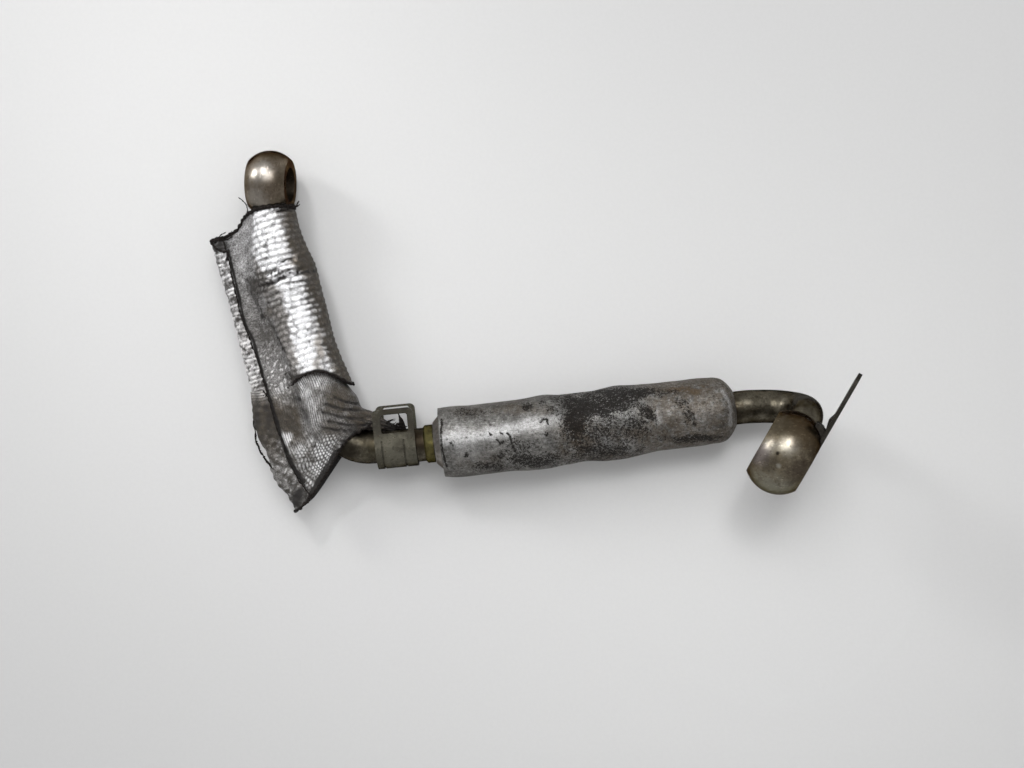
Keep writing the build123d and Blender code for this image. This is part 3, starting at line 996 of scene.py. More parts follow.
# Along the hose: the foil's radius, and how far it drifts to the side
FOIL_RADII = [
    (-1.0, 10.3), (1.0, 10.55), (4.0, 10.72), (8.0, 10.55), (12.0, 10.42), (20.0, 10.45), (24.0, 10.8),
    (28.0, 11.12), (32.0, 11.15), (36.0, 10.62), (40.0, 10.1), (44.0, 10.2), (48.0, 10.65), (52.0, 10.85),
    (56.0, 10.75), (60.0, 10.4), (64.0, 10.12), (68.0, 10.0), (72.0, 9.92), (76.0, 9.98), (80.0, 9.88),
    (82.5, 9.68), (84.3, 9.0), (85.7, 7.6), (86.6, 6.35), (87.0, 5.65),
]
FOIL_DRIFT = [
    (-1.0, -0.05), (4.0, -0.35), (10.0, -0.55), (20.0, -0.62), (26.0, -0.7), (32.0, -0.5), (40.0, -0.85),
    (46.0, -0.62), (52.0, -0.2), (58.0, -0.05), (64.0, 0.12), (76.0, 0.15), (82.0, 0.02), (87.0, 0.0),
]
FOIL_ROWS, FOIL_COLUMNS = 281, 193
FOIL_START, FOIL_END = -1.0, 87.0
# Small dents: place along the hose, angle from the top, size and depth
FOIL_DENTS = [
    (18.0, 0.45, 1.3, -0.35), (22.0, 0.15, 1.0, -0.3), (31.5, 0.7, 1.4, -0.3), (24.5, -0.35, 2.2, -0.2),
    (41.0, 1.3, 4.0, -0.25),
]
# Marks on the foil in the picture's frame: right, down, half width, half height, amount
FOIL_SOOT = [
    (588, 408, 34, 20, 1.0), (574, 418, 20, 20, 0.9), (598, 432, 26, 12, 0.55), (612, 402, 30, 14, 0.9),
    (625, 393, 46, 7, 0.95), (646, 413, 11, 8, 0.8), (679, 402, 11, 6, 0.5), (688, 417, 7, 11, 0.45),
    (694, 423, 2.6, 2.6, 1.0), (532, 460, 34, 9, 0.7), (600, 450, 42, 10, 0.65), (695, 438, 34, 5, 0.75),
    (526, 406, 8, 4, 0.75), (542, 402, 4, 3, 0.8), (466, 455, 3, 3.5, 0.85), (451, 443, 3, 6, 0.45),
    (560, 400, 16, 6, 0.5), (502, 454, 3, 3, 0.55), (531, 451, 3, 3, 0.6), (546, 434, 3, 3, 0.55),
    (489, 466, 18, 5, 0.6), (577, 440, 14, 18, 0.45), (632, 425, 26, 16, 0.5), (470, 412, 26, 5, 0.35),
    (520, 446, 22, 10, 0.32),
]
FOIL_BROWN = [
    (575, 436, 26, 28, 0.8), (688, 388, 30, 8, 1.0), (640, 436, 36, 14, 0.6), (470, 412, 30, 7, 0.35),
    (518, 408, 34, 8, 0.5), (672, 418, 24, 20, 0.55), (606, 455, 34, 8, 0.6), (710, 410, 18, 20, 0.35),
    (480, 460, 40, 10, 0.3),
]
# Pale patches: pale metal, and painted highlights along the top and at the left end
FOIL_PALE_AND_HIGHLIGHT = [
    (458, 438, 15, 12, 0.55), (609, 392, 9, 3, 0.4), (637, 402, 13, 4, 0.22), (626, 414, 13, 7, 0.2),
    (658, 417, 7, 9, 0.3), (605, 442, 11, 9, 0.25), (628, 443, 9, 8, 0.35), (700, 414, 14, 9, 0.05),
    (467, 452, 18, 11, 0.28), (596, 408, 5, 4, 0.3),
]
# Lines on the foil: the painted highlight streak along its top, the painted highlight arc on the rounded
# end, and nicks
FOIL_HIGHLIGHT_STREAK = [(446, 440), (480, 436), (520, 427), (557, 418)]
FOIL_HIGHLIGHT_ARC = [(722, 391), (728, 400), (730, 410), (729, 424)]
FOIL_NICKS = [
    [(489, 433), (490.5, 434.5)], [(500, 432), (502, 433.5)], [(507, 433), (509, 435)],
    [(496, 438.4), (500, 443.5), (503, 440.8)], [(508.8, 435), (512, 444), (514.4, 451)],
    [(441, 419), (440.6, 436), (442, 450), (446, 466)], [(497, 455), (500, 458), (503, 455)],
    [(540, 422.4), (542.4, 419), (546.4, 418.4), (547, 423)],
]


def foil_material():
    """Matt aluminium with soot, brown stains, pits and scratches, and painted highlights in its pale mark.
    """
    material, tree, shader, place = new_material("Foil")
    soot, brown, pale = read_marks(tree)
    wide = noise(tree, place, 0.16, 5.0, 0.6, 0.3)
    base = colours().foil_grey
    body = blend(
        tree,
        between(tree, wide, 0.35, 0.68),
        colour([0.55 * c for c in base]),
        colour([1.1 * c for c in base]),
    )
    mottle = noise(tree, place, 1.1, 6.0, 0.72)
    body = blend(tree, between(tree, mottle, 0.5, 0.68, 0.0, 0.75), body, (0.035, 0.031, 0.028, 1.0))
    body = blend(tree, between(tree, mottle, 0.46, 0.32, 0.0, 0.5), body, (0.42, 0.42, 0.42, 1.0))
    stain = times(tree, brown, between(tree, noise(tree, place, 0.5, 5.0, 0.65), 0.3, 0.55))
    body = blend(tree, times(tree, stain, 0.88), body, (0.080, 0.056, 0.033, 1.0))
    grit = noise(tree, place, 2.3, 6.0, 0.75)
    dust = between(tree, noise(tree, place, 1.3, 6.0, 0.82), 0.38, 0.62)
    brushed = noise(tree, stretched(tree, place, (0.45, 3.0, 3.0)), 1.0, 5.0, 0.75)
    body = blend(tree, 1.0, body, between(tree, brushed, 0.36, 0.64, 0.74, 1.28), "MULTIPLY")
    body = blend(tree, 1.0, body, between(tree, grit, 0.36, 0.64, 0.78, 1.22), "MULTIPLY")
    # The pale mark paints pale metal and painted highlights
    body = blend(
        tree, times(tree, pale, between(tree, grit, 0.36, 0.6, 0.35, 1.0)), body, (0.62, 0.62, 0.62, 1.0)
    )
    sooty = times_add(tree, minus(tree, dust, 0.5), 1.1, times(tree, soot, 1.38))
    sooty = times_add(tree, minus(tree, between(tree, grit, 0.36, 0.64), 0.5), 1.1, sooty)
    sooty = between(tree, times_add(tree, minus(tree, wide, 0.5), 0.5, sooty), 0.30, 0.78)
    sooty = times(tree, sooty, between(tree, soot, 0.0, 0.2))
    body = blend(tree, times(tree, sooty, 0.95), body, (0.006, 0.005, 0.0045, 1.0))
    specks = use_group(tree, groups["specks"], Place=place, Size=1.4, Amount=0.26)["Mask"]
    small = use_group(tree, groups["specks"], Place=place, Size=0.55, Amount=0.22)["Mask"]
    pits = most(tree, specks, small)
    body = blend(tree, times(tree, pits, 0.75), body, (0.020, 0.017, 0.014, 1.0))
    flecks = use_group(
        tree, groups["specks"], Place=stretched(tree, place, (1.07, 1.07, 1.07)), Size=0.75, Amount=0.13
    )["Mask"]
    body = blend(tree, times(tree, flecks, 0.5), body, (0.33, 0.32, 0.31, 1.0))
    tree.links.new(body, shader.inputs["Base Color"])
    lost = most(tree, sooty, most(tree, times(tree, stain, 0.6), pits))
    tree.links.new(times_add(tree, lost, -0.7, 0.8, clamp=True), shader.inputs["Metallic"])
    rough = times_add(tree, lost, 0.25, times_add(tree, mottle, 0.2, 0.34), clamp=True)
    tree.links.new(rough, shader.inputs["Roughness"])
    shader.inputs["Specular Tint"].default_value = (0.6, 0.58, 0.55, 1.0)
    shader.inputs["Specular IOR Level"].default_value = 0.18
    height = times_add(tree, pits, -0.5, times(tree, grit, 0.8))
    set_bump(tree, shader, height, 0.11)
    return material


def foil_tube(run, turn, drift, size, clear):
    """The frame places of the wall at that radius, kept clear of the hose inside."""
    over, up = np.cos(turn) * size + drift, np.sin(turn) * size
    push = np.maximum(1.0, clear / np.hypot(over, up))
    push = 1 + (push - 1) * (smooth(3, 8, run) * (1 - smooth(76, 80, run)))[:, None]
    around = HOSE_ORIGIN + HOSE_WAY * run[:, None, None]
    return around + HOSE_SIDE * (over * push)[..., None] + UP * (up * push)[..., None]


def foil_crumple(place, run, turn):
    """How far the foil stands out or in at each place: loose over the hose, tight at both ends."""
    slack = smooth(0, 6, run) * (1 - smooth(80, 86, run))
    loose = (smooth(20, 27, run) * (1 - smooth(56, 62, run)))[:, None]
    uneven = ripple(place, 14.0, 3) * (0.07 + 0.22 * loose) + ripple(place, 5.0, 5) * (0.03 + 0.06 * loose)
    uneven *= slack[:, None]
    for where, angle, size, depth in FOIL_DENTS:
        centre = np.array(
            [where, math.cos(math.pi / 2 - angle) * 10.4, math.sin(math.pi / 2 - angle) * 10.4]
        )
        uneven += depth * bump(0, size, np.linalg.norm(place - centre, axis=-1))
    lip = (1 - smooth(-1.0, -0.3, run))[:, None] * 0.12 * np.sin(turn * 9 + 1.0)
    return uneven, lip


def foil_marks(place, turn, outer):
    """Soot, brown stain, and pale metal with painted highlights at each place of the foil."""
    spots = seen(outer)
    right = spots[..., 0]
    uneven = 0.28 * ripple(place, 3.0, 8)
    upper = smooth(-0.25, 0.15, np.sin(turn)) * np.ones(place.shape[:-1])
    film = 0.10 + 0.22 * smooth(550, 578, right) * (1 - smooth(622, 650, right))
    soot = np.maximum(daubs(spots, FOIL_SOOT, uneven), film) * upper
    for line in FOIL_NICKS:
        soot = np.maximum(soot, near_line(spots, line, 0.5, 0.7) * upper)
    brown = np.maximum(daubs(spots, FOIL_BROWN, uneven), 0.58 * smooth(625, 660, right)) * upper
    pale = daubs(spots, FOIL_PALE_AND_HIGHLIGHT, uneven) * upper
    # Painted highlights: a streak along the top and an arc on the rounded end
    streak = near_line(spots + uneven[..., None] * 5, FOIL_HIGHLIGHT_STREAK, 1.5, 9.0)
    pale = np.maximum(pale, streak * (0.72 - 0.3 * smooth(480, 555, right)) * upper)
    pale = np.maximum(pale, 0.5 * near_line(spots + uneven[..., None] * 3, FOIL_HIGHLIGHT_ARC, 0.6, 2.4) * upper)
    below = 1 - upper
    soot = np.maximum(soot, below * 0.45 * smooth(-0.2, 0.7, ripple(place, 9.0, 17)))
    brown = np.maximum(brown, below * 0.4)
    return np.stack([soot, brown, pale * (1 - 0.8 * soot)], axis=-1)


class OILLINE_OT_foil(Operator):
    """Build the crumpled foil sleeve over the hose."""

    bl_idname = "oil_line.foil"
    bl_label = "Build foil sleeve"

    def execute(self, context):
        run = np.linspace(FOIL_START, FOIL_END, FOIL_ROWS)
        turn = np.linspace(0, math.tau, FOIL_COLUMNS)
        radius = along_stations(FOIL_RADII, run)[:, None] * np.ones(FOIL_COLUMNS)
        drift = along_stations(FOIL_DRIFT, run)[:, None]
        around = [run[:, None] * np.ones(FOIL_COLUMNS), np.cos(turn) * radius, np.sin(turn) * radius]
        place = np.stack(around, axis=-1)
        uneven, lip = foil_crumple(place, run, turn)
        grown = radius + uneven + lip
        wall = sizes().foil_thickness / MM
        outer = foil_tube(run, turn, drift, grown, HOSE_RADIUS + wall + 0.12)
        inner = foil_tube(run, turn, drift, grown - wall, HOSE_RADIUS + 0.1)
        made = tube_wall("foil_skin", outer, inner, foil_material())
        store(made, MARKS_AND_PAINTED_LIGHT, foil_marks(place, turn, outer)[:, :-1])
        ride(made)
        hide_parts("foil_sleeve")
        return {"FINISHED"}


def weave_height(across, along, row, step, apart):
    """Plain weave from 0 in the grooves to 1 on the crowns, with its knots more or less apart."""
    count = along / row
    line = np.floor(count)
    crown = (0.5 - 0.5 * np.cos(count * math.tau)) ** 0.75
    turn = across / step + line % 2 * 0.5 + 0.2 * np.sin(line * 2.4)
    over = (0.5 + 0.5 * np.cos(turn * math.tau)) ** 0.7
    return crown * (1 - apart + apart * over)


STRIP_PITCH = 1.3  # between the bars of the turned-over strip
ARM_ROWS, ARM_COLUMNS = 273, 333
# Where the long arm's cloth is set out, by distance down the arm
ARM_STATIONS = np.array(
    [-1.5, 2.0, 5.0, 9.0, 13.0, 16.5, 19.0, 21.5, 24.0, 30.0, 38.0, 45.0, 50.0, 54.0, 58.0]
)
# Across the arm, by distance down it: the round side, the fold's foot, the seam and the cut edge
ARM_NOSE = [
    (-1.5, 6.3), (4.0, 6.2), (11.0, 6.3), (15.0, 6.8), (19.0, 7.5), (24.0, 7.65), (32.0, 7.4), (47.0, 7.45),
    (52.0, 8.0), (58.0, 9.0),
]
ARM_FOOT = [
    (-1.5, -7.5), (4.0, -8.6), (15.0, -11.6), (23.0, -11.4), (38.0, -10.1), (48.0, -9.8), (58.0, -9.8),
]
ARM_SEAM = [(-1.5, -16.6), (8.0, -16.7), (30.0, -17.6), (40.0, -16.7), (58.0, -16.5)]
ARM_EDGE = [(-1.5, -20.4), (4.0, -20.7), (20.0, -20.6), (40.0, -20.9), (50.0, -21.1), (58.0, -20.9)]
ARM_HEIGHT = [
    (-1.5, 6.9), (6.0, 7.2), (14.0, 7.4), (19.5, 7.9), (22.0, 8.4), (30.0, 8.5), (44.0, 8.4), (52.0, 8.3),
    (58.0, 8.5),
]
# Where the cloth starts and ends down the arm, by place across it
ARM_TOP = [
    (-21.2, 4.4), (-20.5, 4.07), (-17.0, 4.1), (-13.7, 3.3), (-11.3, 2.3), (-9.7, 0.1), (-7.5, -0.8),
    (-4.0, -0.9), (2.0, 0.1), (7.0, 0.7), (9.5, 0.9),
]
ARM_CUFF = [
    (-21.2, 53.0), (-16.0, 53.0), (-11.5, 52.9), (-9.0, 52.2), (-6.0, 51.0), (-2.0, 50.4), (1.0, 50.7),
    (4.0, 52.4), (6.5, 55.2), (8.5, 57.6), (9.5, 58.4),
]
# The painted highlight band on the tube's top, by distance down the arm: its left and right sides
HIGHLIGHT_BAND_LEFT = [(-1.5, -8.2), (16.0, -8.4), (20.0, -6.6), (24.0, -4.2), (40.0, -4.4), (58.0, -5.0)]
HIGHLIGHT_BAND_RIGHT = [
    (-1.5, 2.3), (3.5, 2.4), (12.5, 2.2), (17.0, 1.4), (20.5, 3.2), (28.0, 4.3), (44.0, 4.3), (58.0, 5.0),
]
# Where the flange's two bands darken down the picture, by scorching and painted shade: place, lightness of
# the strip, of the web
FLANGE_STRIP = [
    (240, 0.70), (300, 0.68), (345, 0.58), (372, 0.55), (386, 0.42), (398, 0.16), (410, 0.02), (440, 0.03),
    (462, 0.15), (490, 0.10),
]
FLANGE_WEB = [
    (240, 0.19), (300, 0.16), (335, 0.10), (352, 0.17), (372, 0.22), (392, 0.16), (410, 0.07), (440, 0.04),
    (490, 0.03),
]
FLANGE_BROWN = [
    (240, 0.08), (290, 0.25), (330, 0.38), (372, 0.35), (392, 0.45), (408, 0.92), (440, 0.85), (462, 0.4),
    (490, 0.35),
]
# Marks on the long arm's cloth in the picture's frame, with painted light and painted shade among them:
# right, down, half width, half height, amount
# Darker patches: painted shade along creases and under the folded corner, and darker patches of cloth
ARM_DARK_AND_SHADE = [
    (256, 286, 10, 15, 0.35), (266, 330, 11, 22, 0.10), (219, 246, 8, 5, 0.7), (307, 336, 3, 8, 0.35),
    (291, 378, 7, 6, 0.5), (266, 260, 2.5, 30, 0.16), (303, 232, 5, 18, 0.2), (305, 260, 11, 9, 0.5),
    (266, 248, 3, 16, 0.3), (280, 272, 18, 5, 0.5), (266, 246, 2.5, 20, 0.3), (288, 280, 20, 3, 0.35),
    (309, 300, 6, 18, 0.25), (282, 300, 10, 5, 0.18),
]
# Brown patches: scorching, and painted shade down the tube's right side
ARM_BROWN_AND_SHADE = [
    (305, 259, 12, 10, 0.95), (250, 340, 8, 30, 0.35), (269, 311, 8, 12, 0.75), (256, 286, 8, 13, 0.45),
    (310, 292, 6, 18, 0.55), (302, 240, 6, 20, 0.6), (318, 352, 6, 30, 0.7), (268, 352, 8, 14, 0.35),
    (292, 380, 12, 6, 0.6), (338, 380, 10, 8, 0.7),
]
# Lighter patches: cleaner cloth and a torn white loop, and painted highlights on the tube
ARM_CLEAN_AND_LIT = [
    (295, 258, 3, 4, 0.9), (292, 264, 4, 2.5, 0.7), (300, 277, 12, 3, 0.3), (308, 350, 17, 22, 0.4),
    (302, 320, 10, 20, 0.3), (284, 298, 9, 12, 0.2), (280, 232, 7, 26, 0.15), (272, 240, 14, 20, 0.12),
    (330, 368, 8, 5, 0.3), (243, 262, 4, 8, 0.12),
]
# Black patches: scorched dots and edges, and painted shade in the crease at the fold's foot and under the
# folded corner
ARM_BURNT_AND_SHADE = [
    (254, 283, 1.3, 1.2, 1.0), (257, 292, 1.5, 1.8, 1.0), (250, 277, 1.2, 1.2, 0.9),
    (260, 285, 1.1, 1.3, 0.9), (262, 278, 1.3, 1.1, 0.9), (255, 299, 1.3, 1.6, 0.9),
    (247, 270, 1.0, 1.2, 0.8), (264, 291, 1.2, 1.4, 0.8), (266, 284, 1.6, 1.0, 0.8),
    (268, 302, 1.2, 1.8, 0.7), (307, 330, 1.6, 2.2, 0.8), (309, 341, 1.5, 2.6, 0.8),
    (306, 347, 1.3, 1.6, 0.7), (258, 290, 2, 3, 0.6), (252, 279, 2, 2, 0.6), (276, 208, 22, 3.0, 0.75),
    (256, 286, 8, 13, 0.55), (218, 245, 7, 3.5, 0.6), (291, 378, 7, 5, 0.6),
]
# Dark lines, each with its half width: painted shade along the creases and a torn dark thread; and the seam
# beside the flange
ARM_LINES = [
    ([(278, 263), (286, 259), (294, 257.5)], 0.9),
    ([(246, 279), (250, 288), (254, 298), (259, 308), (263, 318)], 1.2),
    ([(262, 289), (269, 282.5), (278, 277.5), (290, 274), (304, 271.5), (317, 270)], 1.4),
    ([(266, 275), (278, 271), (291, 267.5)], 0.8),
    ([(287, 374), (291, 380), (294, 386)], 2.2),
    ([(268, 318), (276, 334), (284, 352)], 0.5),
]
SEAM_LINE = [
    (226.5, 259), (228, 250), (234, 276), (240, 303), (244, 323), (253, 340), (258, 359), (262, 374),
    (269, 397), (278, 426), (280, 435), (284, 447), (291, 465), (303, 481),
]


def fold_line(nose, foot, seam, edge, half):
    """The folded cloth in section, as (across, up) from the cut edge round to its other end."""
    middle = 0.42 * nose + 0.58 * foot * 0.62
    out = math.copysign(1.0, edge - nose)
    wide = abs(foot - middle)

    def near(place, way):
        return place + out * way

    return [
        (seam, 2.0),
        (near(seam, 1.0), 2.3),
        (0.5 * (seam + edge), 2.35),
        (near(edge, -0.8), 1.7),
        (edge, 0.3),
        (near(edge, -0.9), -1.0),
        (seam, -1.4),
        (near(foot, 1.6), -1.7),
        (near(foot, -1.6), -3.3),
        (near(middle, 0.62 * wide), -0.74 * half),
        (middle, -half),
        (near(middle, -0.70 * abs(nose - middle)), -0.72 * half),
        (nose, 0.0),
        (near(middle, -0.70 * abs(nose - middle)), 0.72 * half),
        (middle, half),
        (near(middle, 0.62 * wide), 0.74 * half),
        (near(foot, -1.6), 3.3),
        (near(foot, 1.4), 1.55),
        (near(seam, -0.6), 1.15),
        (near(edge, -1.8), 0.75),
    ]


def zones(places, rows):
    """Shares of the turned-over strip, the tube and the web, by place round the fold."""
    strip = 1 - smooth(4.0, 4.8, places)
    tube = smooth(8.2, 9.2, places) * (1 - smooth(15.5, 16.3, places))
    web = smooth(15.5, 16.3, places)
    return [zone[None, :] * np.ones((rows, 1)) for zone in (strip, tube, web)]


def flange_tones(spots, uneven):
    """Lightness of the strip, of the web and their scorching, down the picture; the darkening holds painted
    shade as well.
    """
    down = spots[..., 1] + 7 * uneven
    return [along_stations(stations, down) for stations in (FLANGE_STRIP, FLANGE_WEB, FLANGE_BROWN)]


def strip_bars(down, uneven):
    """Raised bars across the turned-over strip."""
    return 0.5 + 0.5 * np.cos(down * math.tau / STRIP_PITCH + 2.2 * uneven)


class Cloth:
    """A folded cloth's grid, the way out at each point, and shares of its parts."""

    def __init__(self, base, places, across):
        self.base, self.places, self.across = base, places, across
        self.out = normals_of(base)
        self.faced = smooth(-0.1, 0.3, self.out[..., 2])  # 1 where it faces up
        self.strip, self.tube, self.web = zones(places, len(base))

    def sheet(self, name, shape, relief, material):
        """The piece with its creases and weave, and where its outer face lies."""
        outer = self.base + self.out * (shape + relief)[..., None]
        return thick_sheet(name, outer, self.base + self.out * shape[..., None], material), outer


def arm_cloth():
    """The long arm's cloth before it creases."""
    cage = []
    for down in ARM_STATIONS:
        values = [
            float(along_stations(s, down)) for s in (ARM_NOSE, ARM_FOOT, ARM_SEAM, ARM_EDGE, ARM_HEIGHT)
        ]
        cage.append([(down, across, up) for across, up in fold_line(*values)])
    cage = np.array(cage)
    lengths = np.linalg.norm(np.diff(cage[:, :, 1:], axis=1), axis=2).mean(axis=0)
    places, across = spread_over(lengths, ARM_COLUMNS)
    top = along_stations(ARM_TOP, spline(cage[1], places)[:, 1])
    end = along_stations(ARM_CUFF, spline(cage[-3], places)[:, 1])
    share = np.linspace(0, 1, ARM_ROWS)[:, None]
    down = top + (end - top) * share
    # Each point is read from a dense set of sections, at its own distance down the arm
    first, last, count = ARM_STATIONS[0], ARM_STATIONS[-1], 600
    dense = spline(
        cage, np.interp(np.linspace(first, last, count), ARM_STATIONS, np.arange(len(ARM_STATIONS)))
    )
    dense = spline(dense.transpose(1, 0, 2), places)
    level = np.clip((down - first) / (last - first) * (count - 1), 0, count - 1.001)
    low = level.astype(int)
    part = (level - low)[..., None]
    column = np.arange(ARM_COLUMNS)[None, :] * np.ones((ARM_ROWS, 1), int)
    local = dense[column, low] * (1 - part) + dense[column, low + 1] * part
    side, up = local[..., 1], local[..., 2]
    cloth = Cloth(on_arm(down[..., None], side[..., None], up[..., None]), places, across)
    cloth.down, cloth.side, cloth.up = down, side, up
    # How far each point lies from the open edges
    cloth.rim = np.minimum(share * (end - top), (1 - share) * (end - top)) * np.ones_like(down)
    return cloth


def arm_creases(cloth):
    """The deep crease across the tube, a shallow one above it, the one at the fold's foot, and dents."""
    base, down, side = cloth.base, cloth.down, cloth.side
    faced, tube, web = cloth.faced, cloth.tube, cloth.web
    shape = np.zeros(down.shape)
    line = 21.0 - 0.115 * side + 0.25 * np.sin(side * 0.9)
    inner = tube * (1 - smooth(3.5, 6.0, side))
    shape -= 0.7 * bump(0, 1.1, down - line) * inner
    shape += 0.4 * bump(1.7, 1.5, down - line) * inner
    shape += 0.2 * bump(-1.8, 1.2, down - line) * inner
    shape -= 0.3 * bump(0, 0.8, down - 17.3 + 0.12 * side) * inner * smooth(-2, 1, side) * faced
    foot = smooth(-11, -8, side) * (1 - smooth(-4, 0, side))
    shape -= 0.35 * bump(0, 1.0, down - 24.3 - 0.35 * (side + 8)) * foot * faced
    shape += ripple(base, 11.0, 21) * (0.12 + 0.14 * web + 0.08 * tube)
    shape += ripple(base, 4.0, 22) * (0.05 + 0.05 * web)
    shape += ripple(base, 1.6, 23) * (0.03 + 0.16 * cloth.strip + 0.03 * web)
    return shape


def arm_weave(cloth):
    """How far the yarns stand out from 0 to 1, the strip's bars, and how deep both are in millimetres."""
    base, down, strip = cloth.base, cloth.down, cloth.strip
    jitter = ripple(base, 5.0, 4)
    across = cloth.across[None, :] + 0.35 * ripple(base, 3.0, 6) + 0.35 * ripple(base, 1.8, 7)
    along = down + 0.28 * jitter + 0.14 * ripple(base, 2.2, 8)
    apart = np.clip(0.58 + 0.3 * ripple(base, 5.0, 12) + 0.12 * smooth(20, 30, down), 0.2, 0.9)
    relief = weave_height(across, along, sizes().weave_row / MM, sizes().weave_step / MM, apart)
    bars = np.clip(strip_bars(down, jitter) * (0.75 + 0.5 * ripple(base, 1.8, 9)), 0, 1)
    worn = np.clip(0.75 + 0.35 * ripple(base, 9.0, 31), 0.3, 1.1)
    depth = sizes().weave_relief / MM * (1.0 * cloth.tube + 0.22 * cloth.web + 0.7 * strip) * worn
    return relief * (1 - strip) + bars * strip, bars, depth


def arm_marks(cloth, outer, relief, bars):
    """Lightness, brown and scorching at each place of the long arm's cloth, with painted highlights and
    painted shade in all three.
    """
    base, down, side, faced = cloth.base, cloth.down, cloth.side, cloth.faced
    strip, tube, web = cloth.strip, cloth.tube, cloth.web
    spots = seen(outer)
    lower = spots[..., 1]
    uneven = 0.32 * ripple(base, 3.0, 51) + 0.16 * ripple(base, 1.1, 52)
    grain, fleck = ripple(base, 1.7, 54), smooth(0.3, 1.0, ripple(base, 0.75, 55, 14))
    mottle = smooth(-0.35, 0.35, ripple(base, 0.9, 56, 14) + 0.7 * (0.5 - relief))
    left, right = along_stations(HIGHLIGHT_BAND_LEFT, down), along_stations(HIGHLIGHT_BAND_RIGHT, down)
    moved = side + 1.8 * uneven + 0.5 * grain
    # A painted highlight band along the tube's top, and painted shade down its right flank
    lit_band = smooth(left - 1.0, left + 1.0, moved)
    lit_band = lit_band * (1 - smooth(right - 1.9, right + 1.0, moved + 1.1 * (0.55 - relief))) * faced
    shaded_flank = smooth(right - 1.2, right + 1.6, moved + 0.6 * (0.5 - relief)) * smooth(-2.5, 0.0, cloth.up)
    strip_tone, web_tone, scorched = flange_tones(spots, uneven)

    # Crowns of the weave and the strip's bars are painted lighter than the grooves between them: painted
    # highlights and painted shade
    crown = smooth(0.08, 0.85, relief)
    woven = lit_band * (0.40 + 0.60 * crown * (1 + 0.45 * grain) + 0.14 * grain)
    beside = (1 - lit_band) * (1 - shaded_flank) * (0.10 + 0.30 * crown + 0.10 * grain)
    tone = tube * (woven + beside + shaded_flank * (1 - lit_band) * (0.01 + 0.14 * crown + 0.05 * grain))
    tone += web * (web_tone + 0.05 * uneven + 0.06 * grain + fleck * (0.12 + 0.55 * bump(375, 38, lower)))
    barred = strip_tone - 0.34 + 0.24 * smooth(312, 340, lower) + 0.42 * bars * (1 + 0.7 * grain)
    tone += strip * (
        barred + 0.26 * grain + 0.35 * uneven - 0.30 * mottle + 0.5 * fleck * smooth(320, 345, lower)
    )
    # Painted shade: darker where the cloth faces down
    tone *= 0.55 + 0.45 * faced
    tone += (
        daubs(spots, ARM_CLEAN_AND_LIT, uneven) - daubs(spots, ARM_DARK_AND_SHADE, uneven) * (0.35 + 0.9 * mottle)
    ) * faced

    # Brown: painted shade on the right flank, beside the highlight band and where the cloth faces down; the
    # flange's scorching; the listed patches
    brown = np.maximum(0.95 * shaded_flank * tube, (0.45 + 0.4 * uneven) * (1 - faced))
    brown = np.maximum(brown, scorched * (web + strip) * faced)
    brown = np.maximum(brown, daubs(spots, ARM_BROWN_AND_SHADE, uneven) * faced)
    brown = np.maximum(brown, 0.55 * (1 - lit_band) * tube * faced * (1 - shaded_flank))

    ragged = 0.55 + 0.8 * uneven
    burnt_and_shade = 1 - smooth(ragged, ragged + 0.5, cloth.rim)
    burnt_and_shade = np.maximum(burnt_and_shade, daubs(spots, ARM_BURNT_AND_SHADE, 0.7 * uneven) * (0.45 + 0.55 * mottle) * faced)
    # Painted shade along the creases
    for line, half in ARM_LINES:
        near = near_line(spots + 1.5 * grain[..., None], line, half * (0.8 + uneven), 1.4)
        burnt_and_shade = np.maximum(burnt_and_shade, (0.5 + 0.5 * mottle) * near * faced)
    # Painted shade over the strip's top end, under the folded corner
    burnt_and_shade = np.maximum(burnt_and_shade, 0.9 * strip * (1 - smooth(250.5, 252.5, lower + uneven)))
    seam = near_line(spots, SEAM_LINE, 0.9 + 1.2 * uneven, 0.9) * faced * (1 - tube)
    return cloth_marks(tone, brown, np.maximum(burnt_and_shade, seam))


def cloth_marks(*marks):
    """Lightness, brown and scorching with the painted highlights and painted shade in them, each held from 0
    to 1.
    """
    return np.stack([np.clip(mark, 0, 1) for mark in marks], axis=-1)


def arm_cords(outer):
    """Black thread along the open edges and the cut side, drawn on the cloth's own edge."""
    draw = np.random.default_rng(31)
    last = outer.shape[1] - 1
    rim = np.linspace(0, last, 3 * outer.shape[1] // 2)
    cords = [
        rough_cord(spline(outer[0], rim), 0.34, draw, 0.16),
        rough_cord(spline(outer[0], rim) + ARM_WAY * 0.35, 0.26, draw, 0.2),
        rough_cord(spline(outer[-1], rim), 0.29, draw, 0.22),
        rough_cord(outer[::2, 0], 0.22, draw, 0.14),
    ]
    for _ in range(70):
        cords.append(fray(outer[0], draw.uniform(0, last), -ARM_WAY, draw, 0.55, 0.9))
    for _ in range(45):
        cords.append(fray(outer[-1], draw.uniform(0, last), ARM_WAY, draw, 0.4, 0.9))
    return cords


class OILLINE_OT_upper_cloth(Operator):
    """Build the heat cloth over the long arm, folded once with its hem turned over."""

    bl_idname = "oil_line.upper_cloth"
    bl_label = "Build long arm's cloth"

    def execute(self, context):
        cloth = arm_cloth()
        relief, bars, depth = arm_weave(cloth)
        material = cloth_material(
            "Heat cloth", colours().cloth_silver, (0.050, 0.047, 0.045), colours().cloth_brown,
            metal_share=0.35, gloss=0.40, grit_share=0.62,
        )
        made, outer = cloth.sheet("upper_cloth", arm_creases(cloth), (relief - 0.6) * depth, material)
        store(made, MARKS_AND_PAINTED_LIGHT, arm_marks(cloth, outer, relief, bars))
        ride(made)
        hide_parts("upper_sleeve")
        ride(bundle("arm_binding", arm_cords(outer), black_thread()))
        return {"FINISHED"}


